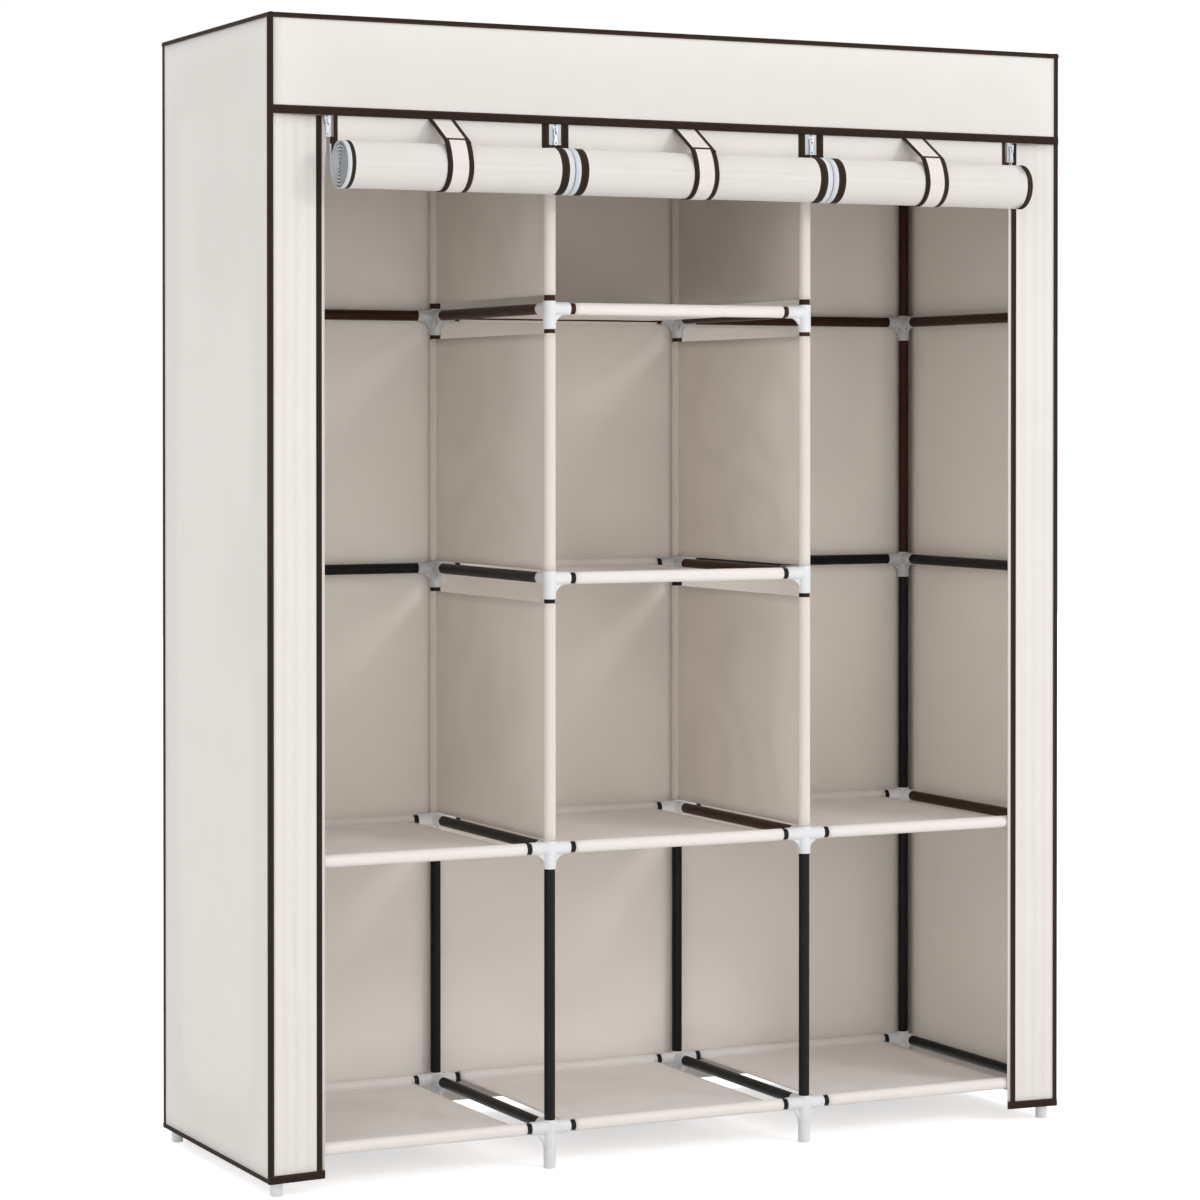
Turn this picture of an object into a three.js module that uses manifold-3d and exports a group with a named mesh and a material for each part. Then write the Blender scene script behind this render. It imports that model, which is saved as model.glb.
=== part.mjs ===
// Portable fabric wardrobe: a plug-together tube frame with moulded corner connectors,
// stretched cloth shelves and dividers, and a zipped cloth cover whose three doors are rolled up.
// Millimetres, +Z up, front towards -Y. Inside the group, y = 0 is the cover's front face.
import * as THREE from 'three';
import { mergeVertices } from 'three/addons/utils/BufferGeometryUtils.js';
import Module from 'manifold-3d';

const wasm = await Module();
wasm.setup();

// Overall size of the cover
const COVER_WIDTH = 1300;
const COVER_DEPTH = 450;
const COVER_HEIGHT = 1650;
const COVER_CLOTH = 1.2;
const HEM_HEIGHT = 20;

// Clearances
const GAP = 0.3;
const OVERRUN = 2;

// Tube frame: where the eight posts stand, and the heights of the connector levels
const POST_SIDE_INSET = 16;
const POST_FRONT_INSET = 19;
const POST_BACK_INSET = 15;
const COLUMNS = 3;
const LEVEL_BOTTOM = 59;
const LEVEL_FIRST = 464;
const TIER_HEIGHT = 391;

// Steel tube
const TUBE_RADIUS = 8;
const TUBE_WALL = 0.8;
const TUBE_BORE = TUBE_RADIUS - TUBE_WALL;
const ROUND_SIDES = 8;

// Moulded connector
const CONNECTOR_WALL = 1.2;
const SOCKET_RADIUS = TUBE_RADIUS + GAP;
const CONNECTOR_RADIUS = SOCKET_RADIUS + CONNECTOR_WALL;
const ARM_REACH = 31;
const SOCKET_DEPTH = 19;
const CONNECTOR_TOP = 11;
const CONNECTOR_DROP = 30;
const WEB_THICKNESS = 5;
const WEB_REACH = 28;
const WEB_DROP = 27;
const WEB_STEPS = 2;
const FOOT_RADIUS = 8.9;
const FOOT_WEB_END = 22;

// Cloth on the frame
const SHELF_CLOTH = 1.2;
const SHELF_DROP = 2;
const SLEEVE_CLOTH = 1;
const BARE_TUBE_END = 8;
const DIVIDER_CLOTH = 1.2;
const DIVIDER_LOOSE_TOP = 6;
const HIGH_DIVIDER_LIFT = 8;

// Cover details
const VALANCE_DEPTH = 139;
const STRIP_WIDTH = 80.7;
const STRIP_LEAN = 7;

// Rolled door
const DOOR_CLOTH = 1.2;
const DOOR_LENGTH = 1490;
const DOOR_END_INSET = 90;
const DOOR_PARTING = 1.5;
const ROLL_RADIUS = 33;
const ROLL_CORE = 4;
const ROLL_DROP = 73;
const ROLL_STANDOFF = 2;
const TURN_STEPS = 8;

// Strap that holds a rolled door
const STRAP_WIDTH = 40;
const STRAP_CLOTH = 1.2;
const STRAP_FROM_MIDDLE = 390;
const STRAP_TAIL_STEP = 1;

// Zip
const ZIP_FROM_SIDE = 86;
const TAPE_CLOTH = 0.8;
const TAPE_WIDTH = 5;
const INNER_TAPE_WIDTH = 8;
const TAPE_PARTING = 2.4;
const TAPE_HANG = 31;
const SLIDER_LENGTH = 11;
const SLIDER_WIDTH = 9;
const SLIDER_NOSE = 5;
const SLIDER_PLATE = 1.1;
const SLIDER_NECK = 1.6;
const SLIDER_DROP = 3;
const SLIDER_TRAVEL = 12;
const BAIL_LENGTH = 7.5;
const BAIL_WIDTH = 1.8;
const BAIL_WALL = 1;
const BAIL_INSIDE = 2.1;
const PULL_LENGTH = 24;
const PULL_WIDTH = 6.4;
const PULL_PLATE = 1.2;
const PULL_EYE_WIDTH = 3.2;
const PULL_EYE_LENGTH = 7.5;
const PULL_RAIL = 1.2;
const PULL_HOLE_RADIUS = 1.3;

// Hanging rods under the top of the outer columns
const ROD_COLLAR_REACH = 16;

// Places worked out from the sizes
const HALF_WIDTH = COVER_WIDTH / 2;
const COLUMN_PITCH = (COVER_WIDTH - 2 * POST_SIDE_INSET) / COLUMNS;
const FIRST_POST_X = POST_SIDE_INSET - HALF_WIDTH;
const POST_X = Array.from({ length: COLUMNS + 1 }, (_, i) => FIRST_POST_X + i * COLUMN_PITCH);
const FRONT_Y = POST_FRONT_INSET;
const BACK_Y = COVER_DEPTH - POST_BACK_INSET;
const LEVEL_Z = [0, 1, 2, 3].map((k) => (k === 0 ? LEVEL_BOTTOM : LEVEL_FIRST + (k - 1) * TIER_HEIGHT));
const LEVEL_TOP = COVER_HEIGHT - COVER_CLOTH - GAP - CONNECTOR_TOP;
const SOCKET_END = ARM_REACH - SOCKET_DEPTH;
const RAIL_END = SOCKET_END + GAP;
const SLEEVE_END = ARM_REACH + BARE_TUBE_END;
const SLEEVE_RADIUS = TUBE_RADIUS + SLEEVE_CLOTH;
const POST_TOP = LEVEL_TOP - TUBE_RADIUS / 2;
const VALANCE_Z = COVER_HEIGHT - VALANCE_DEPTH;
const SEAM_Z = VALANCE_Z - GAP;
const ROLL_Y = -ROLL_STANDOFF - ROLL_RADIUS;
const ROLL_Z = SEAM_Z - ROLL_DROP;
const DOOR_ROLLED_LENGTH = DOOR_LENGTH - ROLL_DROP;
const ROLL_PITCH = (Math.PI * (ROLL_RADIUS ** 2 - ROLL_CORE ** 2)) / DOOR_ROLLED_LENGTH;
const ROLL_TURNS = (ROLL_RADIUS - ROLL_CORE) / ROLL_PITCH;
const FRONT_REACH = -ROLL_Y + ROLL_RADIUS - ROLL_PITCH / 2 + GAP + STRAP_CLOTH;

// Finishes
const look = (color, roughness, metalness = 0) =>
  new THREE.MeshStandardMaterial({ color, roughness, metalness });
const clothLook = () => look(0xebe6e1, 0.9);
const shelfLook = () => look(0xded6ce, 0.9);
const dividerLook = () => look(0xd2c9c1, 0.9);
const connectorLook = () => look(0xeceef0, 0.45);
const blackTubeLook = () => look(0x151517, 0.35, 0.2);
const brownTubeLook = () => look(0x2f1c0e, 0.35, 0.2);
const strapLook = () => look(0xebe6e1, 0.9);
const metalLook = () => look(0xc9ced2, 0.3, 1);

// Solids from three.js geometry, and back again
function solid(geometry) {
  geometry.deleteAttribute('normal');
  geometry.deleteAttribute('uv');
  const merged = mergeVertices(geometry);
  return new wasm.Manifold(
    new wasm.Mesh({
      numProp: 3,
      vertProperties: new Float32Array(merged.attributes.position.array),
      triVerts: new Uint32Array(merged.index.array),
    })
  );
}

function meshOf(name, body, material) {
  const { vertProperties, triVerts } = body.getMesh();
  const geometry = new THREE.BufferGeometry();
  geometry.setAttribute('position', new THREE.BufferAttribute(new Float32Array(vertProperties), 3));
  geometry.setIndex(new THREE.BufferAttribute(new Uint32Array(triVerts), 1));
  geometry.computeVertexNormals();
  const mesh = new THREE.Mesh(geometry, material);
  mesh.name = name;
  return mesh;
}

const joined = (bodies) => bodies.reduce((whole, body) => whole.add(body));
const cut = (body, tools) => tools.reduce((whole, tool) => whole.subtract(tool), body);

// Basic forms
const AXES = { x: new THREE.Vector3(1, 0, 0), y: new THREE.Vector3(0, 1, 0), z: new THREE.Vector3(0, 0, 1) };

// A round bar of the given radius from one point to another along one axis, with a flat on each axis.
function bar(axis, start, end, radius) {
  const length = start.distanceTo(end);
  const geometry = new THREE.CylinderGeometry(radius, radius, length, ROUND_SIDES);
  geometry.rotateY(Math.PI / ROUND_SIDES);
  const turn = new THREE.Quaternion().setFromUnitVectors(AXES.y, AXES[axis]);
  const middle = start.clone().add(end).multiplyScalar(1 / 2);
  geometry.applyMatrix4(new THREE.Matrix4().compose(middle, turn, new THREE.Vector3(1, 1, 1)));
  return solid(geometry);
}

function block(low, high) {
  const size = high.clone().sub(low);
  const geometry = new THREE.BoxGeometry(size.x, size.y, size.z);
  const middle = low.clone().add(high).multiplyScalar(1 / 2);
  geometry.translate(middle.x, middle.y, middle.z);
  return solid(geometry);
}

const point = (x, y, z) => new THREE.Vector3(x, y, z);

const flat = (points) => points.map(([a, b]) => new THREE.Vector2(a, b));

function prism(points, depth, holes = []) {
  const outline = new THREE.Shape(flat(points));
  outline.holes = holes.map((hole) => new THREE.Path(flat(hole)));
  return new THREE.ExtrudeGeometry(outline, { depth, bevelEnabled: false });
}

// An outline of [y, z] points, run along X from one place to another.
function prismX(points, from, to) {
  const geometry = prism(points, to - from);
  geometry.applyMatrix4(new THREE.Matrix4().makeBasis(AXES.y, AXES.z, AXES.x));
  geometry.translate(from, 0, 0);
  return solid(geometry);
}

// An outline of [x, y] points, run up Z.
function prismZ(points, from, to, holes) {
  const geometry = prism(points, to - from, holes);
  geometry.translate(0, 0, from);
  return solid(geometry);
}

// The outline of a round piece, with the same flats as a bar, from the corner after an angle.
const HALF_SIDE = Math.PI / ROUND_SIDES;
function ring([a, b], radius, after = 0, corners = ROUND_SIDES) {
  return Array.from({ length: corners }, (_, i) => {
    const angle = after + (2 * i + 1) * HALF_SIDE;
    return [a + radius * Math.cos(angle), b + radius * Math.sin(angle)];
  });
}

// Connector parts. A direction is [x, y], one of the four level ways out of the post.
const RIGHT = [1, 0];
const LEFT = [-1, 0];
const IN = [0, 1];
const OUT = [0, -1];
const along = ([dx]) => (dx === 0 ? 'y' : 'x');

function arm(center, way, from, to, radius) {
  const [dx, dy] = way;
  const near = point(center.x + dx * from, center.y + dy * from, center.z);
  const far = point(center.x + dx * to, center.y + dy * to, center.z);
  const [start, end] = dx + dy > 0 ? [near, far] : [far, near];
  return bar(along(way), start, end, radius);
}

// The hollow-curved web under one arm, which runs down to the lower socket.
function web(center, way, reach, drop) {
  const [dx, dy] = way;
  const curve = [];
  for (let i = 0; i <= WEB_STEPS; i += 1) {
    const angle = (i / WEB_STEPS) * (Math.PI / 2);
    const across = reach - (reach - TUBE_RADIUS) * Math.sin(angle);
    const down = TUBE_RADIUS + (drop - TUBE_RADIUS) * (1 - Math.cos(angle));
    curve.push([across, -down]);
  }
  const outline = [[0, 0], [reach, 0], ...curve, [0, -drop]];
  const geometry = prism(outline, WEB_THICKNESS);
  geometry.translate(0, 0, -WEB_THICKNESS / 2);
  const outward = point(dx, dy, 0);
  const sideways = new THREE.Vector3().crossVectors(outward, AXES.z);
  geometry.applyMatrix4(new THREE.Matrix4().makeBasis(outward, AXES.z, sideways));
  geometry.translate(center.x, center.y, center.z);
  return solid(geometry);
}

function connectorBody(center, ways, drop, webDrop) {
  const sleeve = bar(
    'z',
    point(center.x, center.y, center.z - drop),
    point(center.x, center.y, center.z + CONNECTOR_TOP),
    CONNECTOR_RADIUS
  );
  const arms = ways.map((way) => arm(center, way, 0, ARM_REACH, CONNECTOR_RADIUS));
  const webs = ways.map((way) => web(center, way, WEB_REACH, webDrop));
  return joined([sleeve, ...arms, ...webs]);
}

const sockets = (center, ways) =>
  ways.map((way) => arm(center, way, SOCKET_END, ARM_REACH + OVERRUN, SOCKET_RADIUS));

// A post: the tubes of one post line with the four connectors that join them, down to its foot.
function post(x, y, waysByLevel) {
  const centers = LEVEL_Z.map((z) => point(x, y, z));
  const tube = bar('z', point(x, y, LEVEL_BOTTOM), point(x, y, POST_TOP), TUBE_RADIUS);
  const foot = bar('z', point(x, y, 0), point(x, y, LEVEL_BOTTOM), FOOT_RADIUS);
  const bodies = centers.map((center, k) =>
    k === 0
      ? connectorBody(center, waysByLevel[k], CONNECTOR_DROP, center.z - FOOT_WEB_END)
      : connectorBody(center, waysByLevel[k], CONNECTOR_DROP, WEB_DROP)
  );
  const cuts = centers.flatMap((center, k) => sockets(center, waysByLevel[k]));
  return cut(joined([tube, foot, ...bodies]), cuts);
}

// Which level ways the connector has, at each post line and level.
function waysAt(column, isFront, level) {
  const depthWay = isFront ? IN : OUT;
  const towardsMiddle = column <= 1 ? RIGHT : LEFT;
  const isOuter = column === 0 || column === COLUMNS;
  const isHigh = level >= 2;
  if (isOuter) return isFront && isHigh ? [depthWay] : [towardsMiddle, depthWay];
  if (isFront && isHigh) return [towardsMiddle, depthWay];
  return [LEFT, RIGHT, depthWay];
}

// A plain tube with open ends between two connectors.
function rail(axis, start, end) {
  const reach = AXES[axis].clone().multiplyScalar(OVERRUN);
  const bore = bar(axis, start.clone().sub(reach), end.clone().add(reach), TUBE_BORE);
  return bar(axis, start, end, TUBE_RADIUS).subtract(bore);
}

const depthRail = (x, z) => rail('y', point(x, FRONT_Y + RAIL_END, z), point(x, BACK_Y - RAIL_END, z));
const crossRail = (left, right, y, z) =>
  rail('x', point(left + RAIL_END, y, z), point(right - RAIL_END, y, z));

// A shelf: its cloth with a sleeve along each long edge, and the two tubes threaded through them.
// The cloth leaves each sleeve a little below the middle of its tube.
function shelf(left, right, z) {
  const [clothLeft, clothRight] = [left + SLEEVE_END, right - SLEEVE_END];
  const flatReach = SLEEVE_RADIUS * Math.cos(HALF_SIDE);
  const [top, underside] = [z - SHELF_DROP, z - SHELF_DROP - SHELF_CLOTH];
  const outline = [
    ...ring([FRONT_Y, z], SLEEVE_RADIUS),
    [FRONT_Y + flatReach, underside],
    [BACK_Y - flatReach, underside],
    ...ring([BACK_Y, z], SLEEVE_RADIUS, Math.PI),
    [BACK_Y - flatReach, top],
    [FRONT_Y + flatReach, top],
  ];
  const cloth = prismX(outline, clothLeft, clothRight);
  const ends = [left + RAIL_END, right - RAIL_END];
  const tubes = [FRONT_Y, BACK_Y].map((y) =>
    bar('x', point(ends[0], y, z), point(ends[1], y, z), TUBE_RADIUS)
  );
  return joined([cloth, ...tubes]);
}

// A divider: cloth stretched from a front post to a back post, with a sleeve round each.
function divider(x, bottom, top) {
  const outer = SOCKET_RADIUS + SLEEVE_CLOTH;
  const flatReach = outer * Math.cos(HALF_SIDE);
  const [left, right] = [x - DIVIDER_CLOTH / 2, x + DIVIDER_CLOTH / 2];
  const outline = [
    [left, FRONT_Y + flatReach],
    ...ring([x, FRONT_Y], outer, Math.PI / 2),
    [right, FRONT_Y + flatReach],
    [right, BACK_Y - flatReach],
    ...ring([x, BACK_Y], outer, -Math.PI / 2),
    [left, BACK_Y - flatReach],
  ];
  const holes = [FRONT_Y, BACK_Y].map((y) => ring([x, y], SOCKET_RADIUS));
  return prismZ(outline, bottom, top, holes);
}

// The top of the frame: eight connectors, the rails between them, and two hanging rods.
function topFrame() {
  const z = LEVEL_TOP;
  const bodies = [];
  const bores = [];
  const last = COLUMNS;
  POST_X.forEach((x, column) => {
    const sideWays = [column > 0 ? LEFT : null, column < last ? RIGHT : null].filter(Boolean);
    for (const [y, depthWay] of [[FRONT_Y, IN], [BACK_Y, OUT]]) {
      bodies.push(connectorBody(point(x, y, z), [...sideWays, depthWay], CONNECTOR_DROP, WEB_DROP));
      bores.push(
        bar('z', point(x, y, z - CONNECTOR_DROP - OVERRUN), point(x, y, POST_TOP + GAP), SOCKET_RADIUS)
      );
    }
    bodies.push(bar('y', point(x, FRONT_Y, z), point(x, BACK_Y, z), TUBE_RADIUS));
  });
  for (const y of [FRONT_Y, BACK_Y]) {
    bodies.push(bar('x', point(POST_X[0], y, z), point(POST_X[last], y, z), TUBE_RADIUS));
  }
  const middleY = (FRONT_Y + BACK_Y) / 2;
  for (const column of [0, last - 1]) {
    const [left, right] = [point(POST_X[column], middleY, z), point(POST_X[column + 1], middleY, z)];
    bodies.push(bar('x', left, right, TUBE_RADIUS));
    for (const end of [left, right]) {
      const low = end.clone().setY(middleY - ROD_COLLAR_REACH);
      const high = end.clone().setY(middleY + ROD_COLLAR_REACH);
      bodies.push(bar('y', low, high, CONNECTOR_RADIUS));
    }
  }
  return cut(joined(bodies), bores);
}

// Cover: a side with its front strip, which leans in a little towards its zip.
function coverSide(side) {
  const outer = side * HALF_WIDTH;
  const inner = outer - side * COVER_CLOTH;
  const corner = (outer + inner) / 2;
  const edge = outer - side * STRIP_WIDTH;
  const sidePanel = prismZ(
    [[outer, 0], [outer, COVER_DEPTH], [inner, COVER_DEPTH], [inner, 0]],
    HEM_HEIGHT,
    COVER_HEIGHT
  );
  const strip = prismZ(
    [[corner, 0], [edge, STRIP_LEAN], [edge, STRIP_LEAN + COVER_CLOTH], [corner, COVER_CLOTH]],
    HEM_HEIGHT,
    SEAM_Z
  );
  return sidePanel.add(strip);
}

// Cover: back, top and front valance in one, with the four zip heads hanging from the valance.
function coverMiddle() {
  const half = HALF_WIDTH - COVER_CLOTH - GAP;
  const inside = COVER_HEIGHT - COVER_CLOTH;
  const profile = [
    [0, VALANCE_Z], [0, COVER_HEIGHT], [COVER_DEPTH, COVER_HEIGHT], [COVER_DEPTH, HEM_HEIGHT],
    [COVER_DEPTH - COVER_CLOTH, HEM_HEIGHT], [COVER_DEPTH - COVER_CLOTH, inside],
    [COVER_CLOTH, inside], [COVER_CLOTH, VALANCE_Z],
  ];
  const sheet = prismX(profile, -half, half);
  const tapes = ZIP_X.flatMap((x, i) =>
    [-1, 1].map((side) => {
      const ends = [x + (side * TAPE_PARTING) / 2, x + side * tapeReach(i)];
      return block(
        point(Math.min(...ends), TAPE_FRONT, TAPE_END_Z),
        point(Math.max(...ends), TAPE_FRONT + TAPE_CLOTH, VALANCE_Z + OVERRUN)
      );
    })
  );
  return joined([sheet, ...tapes]);
}

// Zips stand at the inner edge of each front strip and on the two middle post lines.
const ZIP_X = [ZIP_FROM_SIDE - HALF_WIDTH, POST_X[1], POST_X[2], HALF_WIDTH - ZIP_FROM_SIDE];
const isInnerZip = (i) => i > 0 && i < ZIP_X.length - 1;
const tapeReach = (i) => TAPE_PARTING / 2 + (isInnerZip(i) ? INNER_TAPE_WIDTH : TAPE_WIDTH);
const TAPE_END_Z = VALANCE_Z - TAPE_HANG;
const TAPE_FRONT = (COVER_CLOTH - TAPE_CLOTH) / 2;

// The slider's two plates lie on both faces of the tape and are joined through its parting.
const sliderOutline = (x, top) => {
  const bottom = top - SLIDER_LENGTH;
  const shoulder = bottom + SLIDER_NOSE;
  const [half, nose] = [SLIDER_WIDTH / 2, SLIDER_NOSE / 2];
  return [
    [x - nose, bottom], [x + nose, bottom], [x + half, shoulder],
    [x + half, top], [x - half, top], [x - half, shoulder],
  ];
};

// An outline of [x, z] points, run along Y from one place to another.
function prismY(points, from, to) {
  const geometry = prism(points, to - from);
  geometry.applyMatrix4(new THREE.Matrix4().makeBasis(AXES.x, AXES.z, AXES.y.clone().negate()));
  geometry.translate(0, to, 0);
  return solid(geometry);
}

const SLIDER_TOP = SEAM_Z - SLIDER_DROP;
const SLIDER_MIDDLE = SLIDER_TOP - SLIDER_LENGTH / 2;
const SLIDER_FRONT = TAPE_FRONT - GAP - SLIDER_PLATE;
const SLIDER_BACK = TAPE_FRONT + TAPE_CLOTH + GAP + SLIDER_PLATE;
const BAIL_CREST = SLIDER_FRONT - BAIL_INSIDE - BAIL_WALL;
const PULL_AXIS_Y = SLIDER_FRONT - BAIL_INSIDE / 2;
const PULL_AXIS_Z = SLIDER_MIDDLE + BAIL_LENGTH / 2 - BAIL_WALL - BAIL_INSIDE / 2;
const PULL_LOWEST_Z = PULL_AXIS_Z + PULL_RAIL / 2 - PULL_LENGTH - SLIDER_TRAVEL;

function slider(x) {
  const front = prismY(sliderOutline(x, SLIDER_TOP), SLIDER_FRONT, SLIDER_FRONT + SLIDER_PLATE);
  const back = prismY(sliderOutline(x, SLIDER_TOP), SLIDER_BACK - SLIDER_PLATE, SLIDER_BACK);
  const neck = block(
    point(x - SLIDER_NECK / 2, SLIDER_FRONT + SLIDER_PLATE / 2, SLIDER_MIDDLE),
    point(x + SLIDER_NECK / 2, SLIDER_BACK - SLIDER_PLATE / 2, SLIDER_TOP - SLIDER_PLATE)
  );
  const bailTop = SLIDER_MIDDLE + BAIL_LENGTH / 2;
  const bailBottom = SLIDER_MIDDLE - BAIL_LENGTH / 2;
  const [foot, crest, inner] = [SLIDER_FRONT + SLIDER_PLATE / 2, BAIL_CREST, BAIL_CREST + BAIL_WALL];
  const bail = prismX(
    [
      [foot, bailTop], [crest + BAIL_WALL, bailTop], [crest, bailTop - BAIL_WALL],
      [crest, bailBottom + BAIL_WALL], [crest + BAIL_WALL, bailBottom], [foot, bailBottom],
      [foot, bailBottom + BAIL_WALL], [inner, bailBottom + BAIL_WALL],
      [inner, bailTop - BAIL_WALL], [foot, bailTop - BAIL_WALL],
    ],
    x - BAIL_WIDTH / 2,
    x + BAIL_WIDTH / 2
  );
  return joined([front, back, neck, bail]);
}

// The pull tab hangs by the rail at the top of its eye, which passes behind the slider's bail.
function pullTab(x) {
  const top = PULL_AXIS_Z + PULL_RAIL / 2;
  const bottom = top - PULL_LENGTH;
  const [front, back] = [PULL_AXIS_Y - PULL_PLATE / 2, PULL_AXIS_Y + PULL_PLATE / 2];
  const [half, waist] = [PULL_WIDTH / 2, PULL_WIDTH / 2 - PULL_RAIL];
  const taperEnd = top - PULL_EYE_LENGTH - PULL_RAIL;
  const plate = prismY(
    [
      [x - half, top], [x - half, taperEnd], [x - waist, taperEnd - PULL_RAIL],
      [x - half, bottom + PULL_RAIL], [x - waist, bottom],
      [x + waist, bottom], [x + half, bottom + PULL_RAIL],
      [x + waist, taperEnd - PULL_RAIL], [x + half, taperEnd], [x + half, top],
    ],
    front,
    back
  );
  const eye = block(
    point(x - PULL_EYE_WIDTH / 2, front - OVERRUN, top - PULL_RAIL - PULL_EYE_LENGTH),
    point(x + PULL_EYE_WIDTH / 2, back + OVERRUN, top - PULL_RAIL)
  );
  const holeZ = bottom + PULL_WIDTH / 2;
  const hole = bar('y', point(x, front - OVERRUN, holeZ), point(x, back + OVERRUN, holeZ), PULL_HOLE_RADIUS);
  return cut(plate, [eye, hole]);
}

// A rolled door. The cloth hangs from its seam and then winds down, forwards and in on itself.
// Beside the zips it is left open as far down as the pulls reach with their sliders drawn down.
const rollPoint = (turned, radius) => [
  ROLL_Y + radius * Math.cos(turned),
  ROLL_Z - radius * Math.sin(turned),
];
const rollRadius = (turned) => ROLL_RADIUS - (ROLL_PITCH * turned) / (2 * Math.PI);
const fineTurn = (step) => (step / (2 * TURN_STEPS)) * 2 * Math.PI;

function doorRoll(left, right, tapeLeft, tapeRight) {
  const steps = 2 * Math.floor(ROLL_TURNS * TURN_STEPS);
  const outside = [];
  const inside = [];
  for (let i = 0; i <= steps; i += i < 2 * TURN_STEPS ? 1 : 2) {
    outside.push(rollPoint(fineTurn(i), rollRadius(fineTurn(i))));
    inside.push(rollPoint(fineTurn(i), rollRadius(fineTurn(i)) - DOOR_CLOTH));
  }
  const outline = [[DOOR_CLOTH, SEAM_Z], ...outside, ...inside.reverse(), [0, SEAM_Z]];
  const besideTapes = [
    [left - OVERRUN, tapeLeft + GAP],
    [tapeRight - GAP, right + OVERRUN],
  ].map(([low, high]) =>
    block(
      point(low, -ROLL_STANDOFF - DOOR_CLOTH - GAP, PULL_LOWEST_Z - GAP),
      point(high, DOOR_CLOTH + OVERRUN, SEAM_Z + OVERRUN)
    )
  );
  return cut(prismX(outline, left, right), besideTapes);
}

// The strap leaves the seam in front of the door, runs straight to the roll and round under it.
function strap(middle) {
  const seam = [-GAP, SEAM_Z];
  const [fromCenterY, fromCenterZ] = [seam[0] - ROLL_Y, seam[1] - ROLL_Z];
  const distance = Math.hypot(fromCenterY, fromCenterZ);
  const reach = ROLL_RADIUS + GAP;
  const lean = Math.atan2(fromCenterY, fromCenterZ);
  const touch = (3 / 2) * Math.PI - (Math.acos(reach / distance) - lean);
  const outside = [];
  const inside = [];
  const firstStep = Math.floor((touch / Math.PI) * TURN_STEPS);
  const turns = [touch];
  for (let i = firstStep; i >= STRAP_TAIL_STEP; i -= 1) turns.push(fineTurn(i));
  for (const turned of turns) {
    outside.push(rollPoint(turned, rollRadius(turned) + GAP + STRAP_CLOTH));
    inside.push(rollPoint(turned, rollRadius(turned) + GAP));
  }
  const outline = [[seam[0] - STRAP_CLOTH, SEAM_Z], ...outside, ...inside.reverse(), seam];
  return prismX(outline, middle - STRAP_WIDTH / 2, middle + STRAP_WIDTH / 2);
}

// Assembly
const wardrobe = new THREE.Group();
const add = (name, body, material) => wardrobe.add(meshOf(name, body, material));

POST_X.forEach((x, column) => {
  for (const [place, y] of [['front', FRONT_Y], ['back', BACK_Y]]) {
    const ways = LEVEL_Z.map((_, level) => waysAt(column, place === 'front', level));
    add(`post_${place}_${column + 1}`, post(x, y, ways), connectorLook());
  }
  LEVEL_Z.forEach((z, level) => {
    const isBrown = level === 3 || (level < 3 && level > 0 && column >= 2);
    const tone = isBrown ? brownTubeLook() : blackTubeLook();
    add(`depth_rail_${column + 1}_level_${level}`, depthRail(x, z), tone);
  });
});
add('top_frame', topFrame(), blackTubeLook());

const COLUMN_NAMES = ['left', 'middle', 'right'];
COLUMN_NAMES.forEach((column, i) => {
  const [left, right] = [POST_X[i], POST_X[i + 1]];
  LEVEL_Z.forEach((z, level) => {
    if (level < 2 || column === 'middle') {
      add(`shelf_${column}_level_${level}`, shelf(left, right, z), shelfLook());
    } else {
      const tone = level === 3 ? brownTubeLook() : blackTubeLook();
      add(`back_rail_${column}_level_${level}`, crossRail(left, right, BACK_Y, z), tone);
    }
  });
});

const TIERS = [
  ['low', LEVEL_Z[1], LEVEL_Z[2], 0],
  ['middle', LEVEL_Z[2], LEVEL_Z[3], 0],
  ['high', LEVEL_Z[3], LEVEL_TOP, HIGH_DIVIDER_LIFT],
];
[['left', POST_X[1]], ['right', POST_X[2]]].forEach(([side, x]) => {
  for (const [tier, below, above, lift] of TIERS) {
    const bottom = below + CONNECTOR_TOP + GAP + lift;
    const top = above - CONNECTOR_DROP - DIVIDER_LOOSE_TOP;
    add(`divider_${side}_${tier}`, divider(x, bottom, top), dividerLook());
  }
});

add('cover_left', coverSide(-1), clothLook());
add('cover_right', coverSide(1), clothLook());
add('cover_back_and_top', coverMiddle(), clothLook());

const doorEdges = [
  [DOOR_END_INSET - HALF_WIDTH, POST_X[1] - DOOR_PARTING / 2],
  [POST_X[1] + DOOR_PARTING / 2, POST_X[2] - DOOR_PARTING / 2],
  [POST_X[2] + DOOR_PARTING / 2, HALF_WIDTH - DOOR_END_INSET],
];
COLUMN_NAMES.forEach((column, i) => {
  const tapes = [ZIP_X[i] + tapeReach(i), ZIP_X[i + 1] - tapeReach(i + 1)];
  add(`door_roll_${column}`, doorRoll(...doorEdges[i], ...tapes), clothLook());
  add(`door_strap_${column}`, strap((i - 1) * STRAP_FROM_MIDDLE), strapLook());
});

ZIP_X.forEach((x, i) => {
  add(`zip_slider_${i + 1}`, slider(x), metalLook());
  add(`zip_pull_${i + 1}`, pullTab(x), metalLook());
});

wardrobe.position.y = (FRONT_REACH - COVER_DEPTH) / 2;

export default wardrobe;
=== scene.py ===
"""Portable fabric wardrobe: plug-together tube frame, moulded connectors, cloth shelves and
dividers, and a zipped cloth cover whose three doors are rolled up and strapped.
Metres, +Z up, front towards -Y."""

import math

import bpy
from mathutils import Matrix, Vector, noise


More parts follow.
